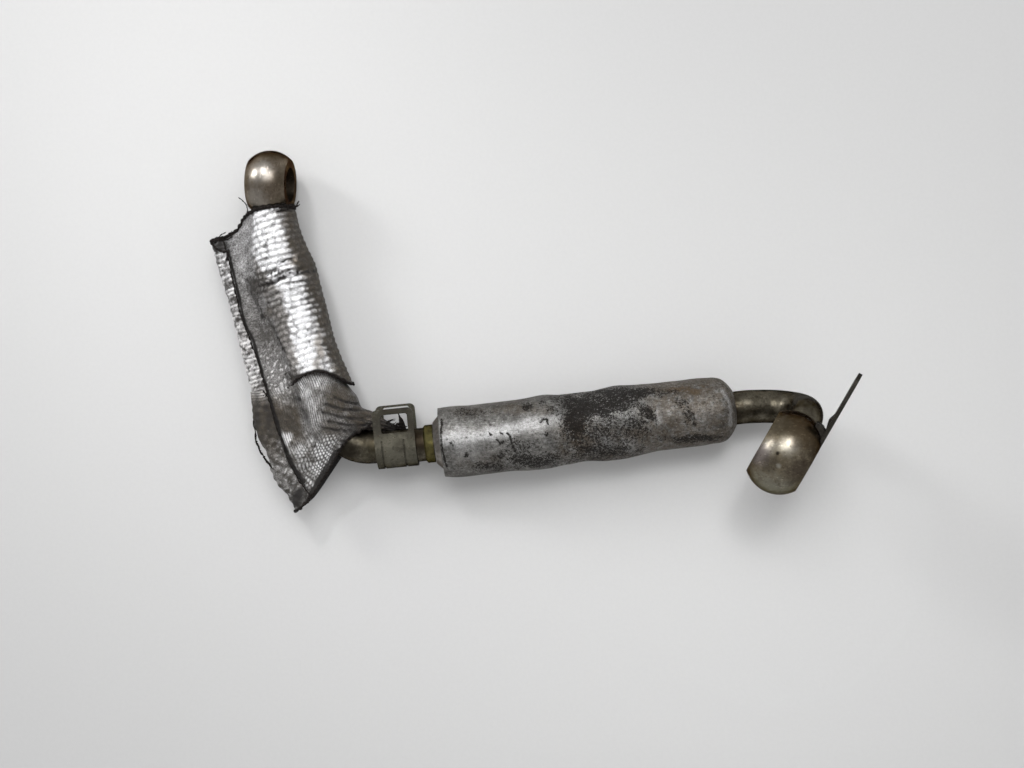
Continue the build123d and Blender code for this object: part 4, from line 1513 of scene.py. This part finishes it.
def fray(edge, place, away, draw, reach, along):
    """A short thread end that leaves an edge mostly along it."""
    start = spline(edge, [place])[0]
    after = spline(edge, [min(place + 1.5, len(edge) - 1)])[0] - spline(edge, [max(place - 1.5, 0)])[0]
    after = after / (np.linalg.norm(after) + 1e-9) * draw.choice([-1.0, 1.0])
    end = (
        start
        + after * draw.uniform(0.3, 1.3) * along
        + away * draw.uniform(0.15, 1.0) * reach
        + UP * draw.uniform(-0.15, 0.35)
    )
    line = curl(start - away * 0.25, end, draw.normal(size=3) * 0.16, 0.05, draw, 7)
    return strand(line, np.linspace(0.2, 0.09, 7) * draw.uniform(0.7, 1.3), 5)


BEND_ROWS, BEND_COLUMNS = 205, 389
BEND_LENGTH = 30  # about how far the bend's cloth runs from the cuff to the hem
BEND_MIDDLE = np.array([31.0, -66.0])  # what the folds of the bend fan out from, in plan
BEND_YARN = 0.39
BEND_RIB, BEND_WIDE_RIB, BEND_KNOT = 0.78, 1.17, 1.12  # pitches of the ribs and of the knots on them
# Folds of the bend's cloth in plan: nose, cut edge, foot and seam measured from the nose, belly, half height
BEND_FOLDS = [
    ((21.9, -58.2), (-5.9, -62.4), 18.3, 24.0, 7.2, 6.3),
    ((24.6, -61.0), (-5.4, -66.0), 18.8, 25.0, 8.2, 6.9),
    ((26.0, -64.4), (-4.7, -73.0), 19.4, 25.4, 8.8, 7.3),
    ((27.0, -67.0), (-1.3, -80.0), 20.2, 25.4, 9.4, 7.3),
    ((28.6, -67.7), (0.9, -87.2), 21.5, 27.6, 10.2, 7.1),
    ((30.2, -68.1), (4.9, -93.4), 23.8, 29.8, 11.4, 6.9),
]
# The open hem in plan with its height, from the tail down to the tip
BEND_HEM = [
    (31.0, -68.4, 0.0), (31.3, -71.2, 3.6), (29.9, -73.7, 5.0), (25.2, -75.1, 6.1), (22.0, -78.0, 6.4),
    (20.1, -81.9, 5.4), (17.4, -86.2, 3.4), (14.2, -90.9, 2.2), (11.2, -95.2, 1.7), (9.2, -97.3, 1.4),
    (7.6, -98.0, 0.6),
]
# Marks on the bend's cloth in the picture's frame, with painted light and painted shade among them: right,
# down, half width, half height, amount
# Lighter patches: cleaner cloth and painted highlights
BEND_CLEAN_AND_LIT = [
    (305, 389, 8, 15, 0.26), (318, 383, 15, 7, 0.22), (311, 404, 10, 13, 0.17), (313, 421, 12, 13, 0.12),
    (285, 439, 8, 10, 1.0), (297, 450, 12, 9, 0.65), (303, 463, 10, 9, 0.45), (307, 444, 10, 9, 0.35),
    (322, 452, 15, 12, 0.46), (317, 469, 13, 11, 0.68), (308, 482, 7, 9, 0.45), (329, 440, 11, 8, 0.36),
    (278, 384, 8, 18, 0.26), (281, 402, 6, 9, 0.12),
]
# Brown patches: scorching, and painted shade on the round part's right side and in the valley
BEND_BROWN_AND_SHADE = [
    (339, 400, 20, 26, 0.95), (360, 416, 18, 18, 1.0), (288, 420, 16, 22, 0.55), (330, 428, 18, 14, 0.75),
    (346, 380, 9, 9, 0.85), (262, 418, 12, 26, 0.9),
]
# Black patches: scorching, and painted shade in the valley by the fold's foot
BEND_BURNT_AND_SHADE = [
    (314, 446, 2.2, 2.4, 0.9), (299, 498, 11, 15, 1.0), (256, 412, 5, 24, 0.7), (268, 412, 6, 24, 0.6),
    (262, 442, 6, 14, 0.4), (330, 447, 9, 5, 0.4), (345, 443, 5, 6, 0.85), (304, 466, 4, 4, 0.35),
    (277, 424, 5, 16, 0.4), (357, 386, 7, 5, 0.6), (290, 425, 7, 16, 0.3), (352, 428, 9, 5, 0.6),
]
# Lines on it: the painted shadow at the fold's foot, the gathers into the tail with painted shade in their
# folds, the hem and the thread torn loose
BEND_CREASE_SHADOW = [(287, 374), (291, 384), (296, 396), (303, 410), (308, 424)]
BEND_GATHERS = [
    [(326, 404), (342, 409), (360, 410), (376, 409)], [(322, 412), (340, 417), (358, 418), (376, 416)],
    [(328, 421), (346, 425), (362, 425), (376, 423)], [(334, 397), (346, 402), (358, 404)],
    [(322, 428), (336, 430), (350, 431)],
]
BEND_HEM_LINE = [
    (353, 431), (349, 438), (343, 445), (334, 452), (326, 464), (321, 473), (312, 488), (305, 503),
]
BEND_LOOSE_THREAD = [
    (254, 409), (253.5, 417), (254, 426), (256, 441), (259, 449), (263, 456), (268, 463), (273, 469),
]
BEND_LOOSE_HEIGHTS = (0.9, 0.7, 0.8, 0.9, 1.0, 1.2, 1.5, 1.9)


def bend_cage():
    """The fan of folds from the cuff to the open hem, which follows its own curve."""
    cage = []
    for nose, edge, foot, seam, belly, half in BEND_FOLDS:
        nose, edge = np.array(nose), np.array(edge)
        length = float(np.linalg.norm(edge - nose))
        way = (edge - nose) / length
        points = fold_line(0.0, foot, seam, length, half)
        points = [(belly * 0.97 if k in (10, 14) else d, z) for k, (d, z) in enumerate(points)]
        cage.append([(*(nose + way * d), FOLD_LEVEL + z) for d, z in points])
    hem = np.array(BEND_HEM)
    run = np.concatenate([[0], np.cumsum(np.linalg.norm(np.diff(hem[:, :2], axis=0), axis=1))])
    total = run[-1]
    last = []
    for index, (d, z) in enumerate(fold_line(0.0, 0.66 * total, total - 6.6, total, 6.4)):
        if index in (10, 14):
            d = 12.5
        x, y, height = (np.interp(min(max(d, 0.0), total), run, hem[:, axis]) for axis in range(3))
        if index >= 12:
            z = height if index < 17 else z
        elif index >= 6:
            z = -height - (0.3 if index > 7 else 0.0)
            x, y = x + 0.5, y - 0.5
        last.append((x, y, FOLD_LEVEL + z))
    return np.array(cage + [last])


def bend_cloth():
    """The bend's cloth before it creases. Its round part starts as a narrower neck inside the cuff."""
    surface, places, across = cage_surface(bend_cage(), BEND_ROWS, BEND_COLUMNS)
    share = np.linspace(0, 1, BEND_ROWS)[:, None] * np.ones(BEND_COLUMNS)
    local = surface - ARM_ORIGIN
    down, side = local @ ARM_WAY, local @ ARM_SIDE
    neck = (1 - smooth(0.0, 0.30, share)) * smooth(7.2, 8.6, places)[None, :]
    neck = neck * (1 - smooth(15.6, 17.2, places))[None, :]
    flat = np.stack([side + 1.4, surface[..., 2]], axis=-1)
    length = np.linalg.norm(flat, axis=-1)
    target = 6.6
    pull = np.where(length > target, target / np.maximum(length, 1e-6), 1.0)
    pulled = ARM_ORIGIN + ARM_WAY * (down - 6.5 * (1 - share * 3).clip(0, 1))[..., None]
    pulled = pulled + ARM_SIDE * (
        flat[..., 0] * pull - 1.4
    )[..., None] + UP * (flat[..., 1] * pull)[..., None]
    cloth = Cloth(surface * (1 - neck[..., None]) + pulled * neck[..., None], places, across)
    cloth.share = share
    cloth.top = smooth(12.0, 13.0, places)[None, :] * np.ones((BEND_ROWS, 1))
    cloth.knotted = smooth(0.50, 0.72, share)
    return cloth


def bend_creases(cloth):
    """The crease round the bend, the gathers into the tail, and dents."""
    base, share = cloth.base, cloth.share
    radial = np.linalg.norm(base[..., :2] - BEND_MIDDLE, axis=-1)
    shape = ripple(base, 9.0, 61) * 0.18 + ripple(base, 3.5, 62) * 0.12
    shape += ripple(base, 1.5, 63) * (0.04 + 0.2 * cloth.strip + 0.08 * cloth.web)
    ends = smooth(0.05, 0.2, share) * (1 - smooth(0.62, 0.85, share))
    shape -= 0.9 * bump(0.0, 2.4, radial - 21.0) * ends * cloth.top
    for line in BEND_GATHERS:
        shape -= 0.45 * near_line(seen(base), line, 0.2, 2.2) * cloth.faced
    return shape


def bend_weave(cloth):
    """Fine ribs near the cuff that break into knots towards the hem, bars, and their depth."""
    base, across, knotted, strip = cloth.base, cloth.across, cloth.knotted, cloth.strip
    jitter = ripple(base, 4.0, 71)
    ribs = np.abs(np.sin((across[None, :] + 0.22 * jitter) * math.pi / BEND_RIB)) ** 0.8
    wide_ribs = np.abs(np.sin((across[None, :] + 0.3 * jitter) * math.pi / BEND_WIDE_RIB)) ** 0.8
    turn = cloth.share * BEND_LENGTH * math.tau / BEND_KNOT + 2.0 * jitter
    knots = 0.5 + 0.5 * np.cos(turn + (np.floor(across / BEND_WIDE_RIB) % 2)[None, :] * math.pi)
    relief = ribs * (1 - knotted) + wide_ribs * (0.4 + 0.6 * knots) * knotted
    relief = relief * (1 - strip) + strip * (0.5 + 0.5 * ripple(base, 1.5, 64))
    depth = (0.16 + 0.16 * knotted) * (0.35 + 0.65 * cloth.top) * (1 - 0.45 * cloth.web) + 0.12 * strip
    return relief, strip_bars(cloth.share * BEND_LENGTH, jitter), depth


def bend_marks(cloth, outer, relief, bars):
    """Lightness, brown and scorching at each place of the bend's cloth, with painted highlights and painted
    shade in all three.
    """
    base, share, faced, knotted = cloth.base, cloth.share, cloth.faced, cloth.knotted
    strip, tube, web = cloth.strip, cloth.tube, cloth.web
    spots = seen(outer)
    lower = spots[..., 1]
    uneven = 0.32 * ripple(base, 3.0, 73) + 0.16 * ripple(base, 1.1, 74)
    strip_tone, web_tone, scorched = flange_tones(spots, uneven)
    crown = smooth(0.2, 0.95, relief)
    lit = daubs(spots, BEND_CLEAN_AND_LIT, uneven)
    grain, fleck = ripple(base, 1.5, 75), smooth(0.3, 1.0, ripple(base, 0.75, 76, 14))
    # Painted glints on the highest ribs
    glint = smooth(0.86, 1.0, relief) * np.clip(0.2 + ripple(base, 2.5, 77), 0, 1)

    # Lighter where lit: cleaner cloth and painted highlights, strongest on the crowns
    cleaner_and_lit = lit * (0.15 + 1.4 * crown * (1 + 0.5 * grain) + 2.2 * glint)
    tone = tube * (0.05 + 0.13 * crown + cleaner_and_lit + 0.05 * grain + 0.10 * fleck)
    flecks = fleck * (0.12 + 0.5 * bump(380, 36, lower))
    tone += web * (web_tone * (0.6 + 0.8 * crown) + lit * (0.1 + 1.2 * crown) + flecks)
    high = 1 - smooth(393, 408, lower + 5 * uneven)
    barred = high * (0.12 + 0.36 * bars) + strip_tone * (0.6 + 0.6 * bars)
    tone += strip * (barred + 0.14 * grain + 0.4 * fleck * smooth(425, 450, lower))
    # Painted shade where the cloth faces down
    tone *= 0.55 + 0.45 * faced

    # Brown patches darken the tube; brown is scorching, and painted shade where the cloth faces down and
    # where it is not lit
    stained_and_shaded = daubs(spots, BEND_BROWN_AND_SHADE, uneven)
    tone *= 1 - 0.38 * stained_and_shaded * tube
    brown = np.maximum((0.45 + 0.4 * uneven) * (1 - faced), scorched * (web + strip) * faced)
    brown = np.maximum(brown, stained_and_shaded * faced)
    brown = np.maximum(brown, 0.35 * tube * faced * (1 - np.clip(2 * lit, 0, 1)))
    brown *= 1 - 0.8 * np.clip(1.5 * lit, 0, 1)

    ragged = 0.978 + 0.02 * uneven
    burnt_and_shade = smooth(ragged, ragged + 0.012, share)
    # The black hem and the band outside it: the binding, and painted shade of the mouth's inside
    hem = 0.95 * near_line(spots, BEND_HEM_LINE, 0.6 + 1.6 * uneven, 1.0) * smooth(0.8, 0.9, share)
    burnt_and_shade = np.maximum(burnt_and_shade, hem * faced)
    outside = near_line(spots - np.array([2.6, 2.6]), BEND_HEM_LINE, 3.4, 1.0) * smooth(0.7, 0.8, share)
    burnt_and_shade = np.maximum(burnt_and_shade, 0.97 * outside)
    # Painted shade along the gathers
    for line in BEND_GATHERS:
        near = near_line(spots + 2 * uneven[..., None], line, 0.7, 1.5)
        burnt_and_shade = np.maximum(burnt_and_shade, (0.75 + 0.35 * grain) * near * faced)
    burnt_and_shade = np.maximum(burnt_and_shade, daubs(spots, BEND_BURNT_AND_SHADE, uneven) * faced)
    # Painted shadow along the fold's foot
    near = near_line(spots + 3 * uneven[..., None], BEND_CREASE_SHADOW, 1.2, 5.0)
    burnt_and_shade = np.maximum(burnt_and_shade, (0.6 + 0.5 * grain) * near * faced * (1 - smooth(416, 430, lower)))
    # Painted shade in the grooves between the knots
    grooves = (1 - smooth(0.25, 0.6, np.abs(relief))) * knotted * tube * faced
    burnt_and_shade = np.maximum(burnt_and_shade, grooves * 0.3)
    seam = near_line(spots, SEAM_LINE, 0.9 + 1.3 * uneven + 0.9 * smooth(436, 452, lower), 1.4)
    seam = seam * faced * (1 - tube) * (1 - strip * smooth(0.6, 1.2, cloth.places))
    return cloth_marks(tone, brown, np.maximum(burnt_and_shade, seam))


def bend_cords(outer, places):
    """Black thread along the hem and the cut side, and the length that has come away."""
    draw = np.random.default_rng(43)
    hem_rim = outer[-1][places > 11.4]
    loose = np.array([in_plan(x, y, up) for (x, y), up in zip(BEND_LOOSE_THREAD, BEND_LOOSE_HEIGHTS)])
    cords = [
        rough_cord(hem_rim, 0.26, draw, 0.16),
        rough_cord(outer[::2, 0], 0.2, draw, 0.14),
        rough_cord(spline(loose, np.linspace(0, len(loose) - 1, 70)), 0.27, draw, 0.12),
        rough_cord(outer[-1][places < 5.2], 0.4, draw, 0.25),
    ]
    hem_way = np.array([0.62, -0.78, 0.0])
    for _ in range(60):
        cords.append(fray(hem_rim, draw.uniform(0, len(hem_rim) - 1), hem_way, draw, 0.7, 0.9))
    for place in np.linspace(0.6, len(loose) - 1.4, 16):
        cords.append(fray(loose, place, np.array([-1.0, 0.0, 0.0]), draw, 0.6, 0.7))
    return cords


class OILLINE_OT_lower_cloth(Operator):
    """Build the heat cloth round the bend, with its gusset fold and open hem."""

    bl_idname = "oil_line.lower_cloth"
    bl_label = "Build bend's cloth"

    def execute(self, context):
        cloth = bend_cloth()
        relief, bars, depth = bend_weave(cloth)
        material = cloth_material(
            "Bend cloth", (0.93, 0.93, 0.94), (0.038, 0.034, 0.030), colours().cloth_brown,
            metal_share=0.35, gloss=0.42, grit_share=0.45, yarn_pitch=BEND_YARN, yarn_strength=0.2,
        )
        made, outer = cloth.sheet("lower_cloth", bend_creases(cloth), (relief - 0.5) * depth, material)
        store(made, YARN_RUN, (cloth.across[None, :] * np.ones((BEND_ROWS, 1)))[..., None])
        store(made, MARKS_AND_PAINTED_LIGHT, bend_marks(cloth, outer, relief, bars))
        ride(made)
        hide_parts("lower_sleeve")
        ride(bundle("bend_binding", bend_cords(outer, cloth.places), black_thread()))
        return {"FINISHED"}


TAIL_ROWS, TAIL_COLUMNS = 121, 129
TAIL_START, TAIL_LENGTH = 24.5, 15.5
# Along the tail: its middle in plan, and half its width and height
TAIL_MIDDLE = [(24.5, -70.6), (29.0, -70.9), (34.0, -72.5), (38.0, -73.7), (41.5, -74.5)]
TAIL_HALF_WIDTH = [(24.5, 3.4), (29.0, 2.9), (34.0, 2.1), (38.0, 1.4), (41.5, 0.35)]
TAIL_HALF_HEIGHT = [(24.5, 5.4), (29.0, 4.5), (34.0, 3.6), (38.0, 2.2), (41.5, 0.4)]
# Thick spikes of the tail in the picture's frame with their height: foot, tip and thickness
TAIL_SPIKES = [
    ((401, 427, 1.0), (397, 412, 1.8), 1.3), ((404, 429, 1.0), (400, 416, 1.6), 1.0),
    ((400, 428, 0.8), (409, 431, 1.0), 1.2), ((402, 430, 0.6), (410, 434, 0.8), 0.9),
    ((396, 424, 1.4), (404, 421, 1.9), 0.7), ((398, 426, 1.2), (407, 426, 1.4), 0.8),
]


def tail_spikes(ring):
    """Scorched ends that stick out of the gathers."""
    draw = np.random.default_rng(7)
    spikes = []
    for _ in range(42):
        angle = draw.uniform(0, math.tau)
        at = draw.uniform(34.0, 39.5)
        row = int(np.interp(at, [TAIL_START, TAIL_START + TAIL_LENGTH], [0, TAIL_ROWS - 1]))
        start = ring[row, int(angle / math.tau * (TAIL_COLUMNS - 1))]
        away = [draw.uniform(0.4, 2.6), 0.9 * math.cos(angle) + draw.normal() * 0.3]
        end = start + np.array([*away, 0.9 * math.sin(angle) + draw.normal() * 0.2])
        line = curl(start, end, draw.normal(size=3) * 0.15, 0.05, draw, 8)
        spikes.append(strand(line, np.linspace(0.26, 0.05, 8), 5))
    for foot, tip, thick in TAIL_SPIKES:
        line = curl(in_plan(*foot), in_plan(*tip), (0.25, 0.1, 0.1), 0.04, draw, 9)
        spikes.append(strand(line, np.linspace(0.6, 0.08, 9) * thick, 6))
    return spikes


class OILLINE_OT_tail(Operator):
    """Build the gathered tail that the clip holds."""

    bl_idname = "oil_line.tail"
    bl_label = "Build gathered tail"

    def execute(self, context):
        share = np.linspace(0, 1, TAIL_ROWS)[:, None]
        turn = np.linspace(0, math.tau, TAIL_COLUMNS)[None, :]
        x = TAIL_START + TAIL_LENGTH * share
        middle, tall, deep = (
            along_stations(s, x) for s in (TAIL_MIDDLE, TAIL_HALF_WIDTH, TAIL_HALF_HEIGHT)
        )
        folds = 0.5 + 0.5 * np.cos(turn * 9 + 1.6 * share + 0.4 * np.sin(share * 9))
        size = 1 - 0.16 * (1 - folds) * smooth(0, 0.2, share)
        over, up = middle + tall * size * np.cos(turn), FOLD_LEVEL + deep * size * np.sin(turn)
        ring = np.stack([x * np.ones_like(turn), over, up], axis=-1)
        ring += (ripple(ring, 4.0, 15) * 0.2 * smooth(0, 0.3, share))[..., None]
        core = [x * np.ones_like(turn), middle * np.ones_like(turn), FOLD_LEVEL * np.ones_like(turn * x)]
        inner = ring + (np.stack(core, axis=-1) - ring) * 0.3
        material = cloth_material(
            "Tail cloth", (0.42, 0.39, 0.34), (0.030, 0.026, 0.021), (0.050, 0.036, 0.024),
            metal_share=0.1, gloss=0.6, grit_share=0.6,
        )
        made = tube_wall("tail_cloth", ring[:, ::-1], inner[:, ::-1], material)
        uneven = ripple(ring, 2.0, 16)
        # Lighter on the folds' crests and darker in their hollows: painted light and shade; darker towards
        # the end inside the clip
        tone = 0.05 + 0.16 * folds * (1 - smooth(0.5, 0.9, share)) + 0.10 * uneven
        burnt_and_shade = 0.9 * smooth(0.55, 0.8, share + 0.08 * uneven) + 0.35 * (1 - folds)
        store(made, MARKS_AND_PAINTED_LIGHT, cloth_marks(tone, np.full(tone.shape, 0.75), burnt_and_shade)[:, ::-1][:, :-1])
        ride(made)
        ride(bundle("tail_spikes", tail_spikes(ring), black_thread()))
        return {"FINISHED"}


# Loose threads as (right, down, height) in the picture's frame, with how thick each is
LOOSE_THREADS = [
    (
        [
            (211, 243, 2.0), (214, 246, 2.2), (217.6, 249.4, 2.4), (222, 251, 2.6), (227, 251, 2.6),
            (227.5, 255, 2.6), (226.4, 259, 2.5),
        ],
        2.0,
    ),
    ([(211, 241, 1.8), (214.5, 238, 2.0), (219, 236.5, 2.2), (224, 236, 2.0)], 0.9),
    ([(211, 239, 1.6), (216, 239, 2.1), (221, 234, 2.2), (225, 232, 2.0)], 1.0),
    ([(213, 243, 1.9), (220, 240, 2.2), (227, 239, 2.0), (232, 236, 1.7)], 1.2),
    ([(238, 197, 1.6), (242, 200, 1.8), (246, 205, 2.0), (247, 210, 2.0), (246, 214, 1.8)], 0.95),
    ([(292, 209, 3.0), (295, 206, 3.2), (297, 203, 3.0), (298, 201, 2.6)], 1.3),
    ([(286, 208, 5.5), (290, 205, 5.6), (296, 206, 4.4), (299, 204, 3.8)], 1.2),
]


class OILLINE_OT_threads(Operator):
    """Build the loose threads."""

    bl_idname = "oil_line.threads"
    bl_label = "Build threads"

    def execute(self, context):
        draw = np.random.default_rng(12)
        radius = sizes().thread_radius / MM
        strands = []
        for points, size in LOOSE_THREADS:
            line = np.array([in_plan(*point) for point in points])
            line = spline(line, np.linspace(0, len(line) - 1, 9 * len(line)))
            strands.append(rough_cord(line, radius * size, draw, 0.05, 6))
        for _ in range(46):
            x, y = draw.uniform(254, 297), draw.uniform(204, 211.5)
            start = in_plan(x, y, 6.3 - 0.012 * (x - 271) ** 2 / 3)
            end = start + np.array([draw.normal() * 1.0, draw.uniform(-0.3, 0.9), draw.uniform(0.0, 0.5)])
            line = curl(start, end, draw.normal(size=3) * 0.3, 0.05, draw, 8)
            strands.append(strand(line, np.linspace(0.2, 0.08, 8), 5))
        ride(bundle("frayed_threads", strands, black_thread()))
        return {"FINISHED"}


WORLD_LIGHT = 0.62
FLOOR_DROP = 0.02 * MM  # below the lowest point, so that the part rests on it
FLOOR_CORNERS = [(-900.0, -900.0, 0.0), (1100.0, -900.0, 0.0), (1100.0, 800.0, 0.0), (-900.0, 800.0, 0.0)]
# Name, place, aim, width, length, power and how far its light spreads
LIGHTS = [
    ("key_softbox", (0.04, 0.24, 0.62), (0.06, -0.05, 0.0), 0.46, 0.34, 1.9, 180),
    ("left_softbox", (-0.19, 0.42, 0.50), (-0.01, 0.0, 0.01), 0.11, 0.15, 0.026, 22),
    ("low_left_softbox", (-0.50, 0.30, 0.30), (0.07, -0.04, 0.0), 0.13, 0.17, 0.14, 50),
    ("right_softbox", (0.166, 0.232, 0.64), (0.155, -0.08, 0.03), 0.11, 0.15, 0.016, 22),
]


def build_floor():
    """A pale, slightly grainy floor right under the part."""
    material, tree, shader, place = new_material("Pale floor")
    base = colours().floor_white
    grain = between(tree, noise(tree, place, 0.9, 3.0, 0.6), 0.3, 0.7)
    shade = blend(tree, grain, colour([0.985 * c for c in base]), colour(base))
    tree.links.new(shade, shader.inputs["Base Color"])
    shader.inputs["Roughness"].default_value = 0.85
    shader.inputs["Specular IOR Level"].default_value = 0.15
    return object_from("floor", np.array(FLOOR_CORNERS), [(0, 1, 2, 3)], material, [False])


class OILLINE_OT_stage(Operator):
    """Build the floor, the soft studio light and the camera."""

    bl_idname = "oil_line.stage"
    bl_label = "Build stage"

    def execute(self, context):
        scene = context.scene
        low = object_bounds()[0].z
        floor = build_floor()
        floor.location.z = low - FLOOR_DROP
        floor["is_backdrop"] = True
        for name, spot, aim, width, length, power, spread in LIGHTS:
            data = bpy.data.lights.new(name, "AREA")
            data.shape = "RECTANGLE"
            data.size, data.size_y, data.energy = width, length, power
            data.spread = math.radians(spread)
            light = bpy.data.objects.new(name, data)
            scene.collection.objects.link(light)
            light.location = spot
            light.rotation_mode = "QUATERNION"
            light.rotation_quaternion = (Vector(aim) - Vector(spot)).to_track_quat("-Z", "Y")
        world = bpy.data.worlds.new("Studio")
        world.use_nodes = True
        background = world.node_tree.nodes["Background"]
        background.inputs["Color"].default_value = (1.0, 1.0, 1.0, 1.0)
        background.inputs["Strength"].default_value = WORLD_LIGHT
        scene.world = world
        scene.view_settings.view_transform = "Standard"
        data = bpy.data.cameras.new("camera")
        data.lens, data.sensor_width = 50.0, 36.0
        data.clip_start, data.clip_end = 0.01, 10.0
        camera = bpy.data.objects.new("camera", data)
        scene.collection.objects.link(camera)
        camera.location = (0.07245, -0.060, 0.4272)
        scene.camera = camera
        return {"FINISHED"}


class OILLINE_PT_panel(Panel):
    """Sizes, colours and build steps of the oil line."""

    bl_idname = "OILLINE_PT_panel"
    bl_label = "Turbo oil line"
    bl_space_type = "VIEW_3D"
    bl_region_type = "UI"
    bl_category = "Oil line"

    def draw(self, context):
        for settings in (context.scene.oil_line_sizes, context.scene.oil_line_colours):
            box = self.layout.box()
            for name in settings.__annotations__:
                box.prop(settings, name)
        for step in STEPS:
            self.layout.operator(step.bl_idname)


STEPS = [
    OILLINE_OT_rings,
    OILLINE_OT_pipes,
    OILLINE_OT_clip,
    OILLINE_OT_foil,
    OILLINE_OT_upper_cloth,
    OILLINE_OT_lower_cloth,
    OILLINE_OT_tail,
    OILLINE_OT_threads,
    OILLINE_OT_stage,
]
CLASSES = [OilLineSizes, OilLineColours, *STEPS, OILLINE_PT_panel]


def register():
    for kind in CLASSES:
        bpy.utils.register_class(kind)
    bpy.types.Scene.oil_line_sizes = PointerProperty(type=OilLineSizes)
    bpy.types.Scene.oil_line_colours = PointerProperty(type=OilLineColours)


def unregister():
    del bpy.types.Scene.oil_line_colours
    del bpy.types.Scene.oil_line_sizes
    for kind in reversed(CLASSES):
        bpy.utils.unregister_class(kind)


def main():
    register()
    groups.update(build_groups())
    for step in STEPS:
        family, name = step.bl_idname.split(".")
        result = getattr(getattr(bpy.ops, family), name)()
        if "FINISHED" not in result:
            raise RuntimeError(step.bl_label + " did not finish")


if __name__ == "__main__":
    main()
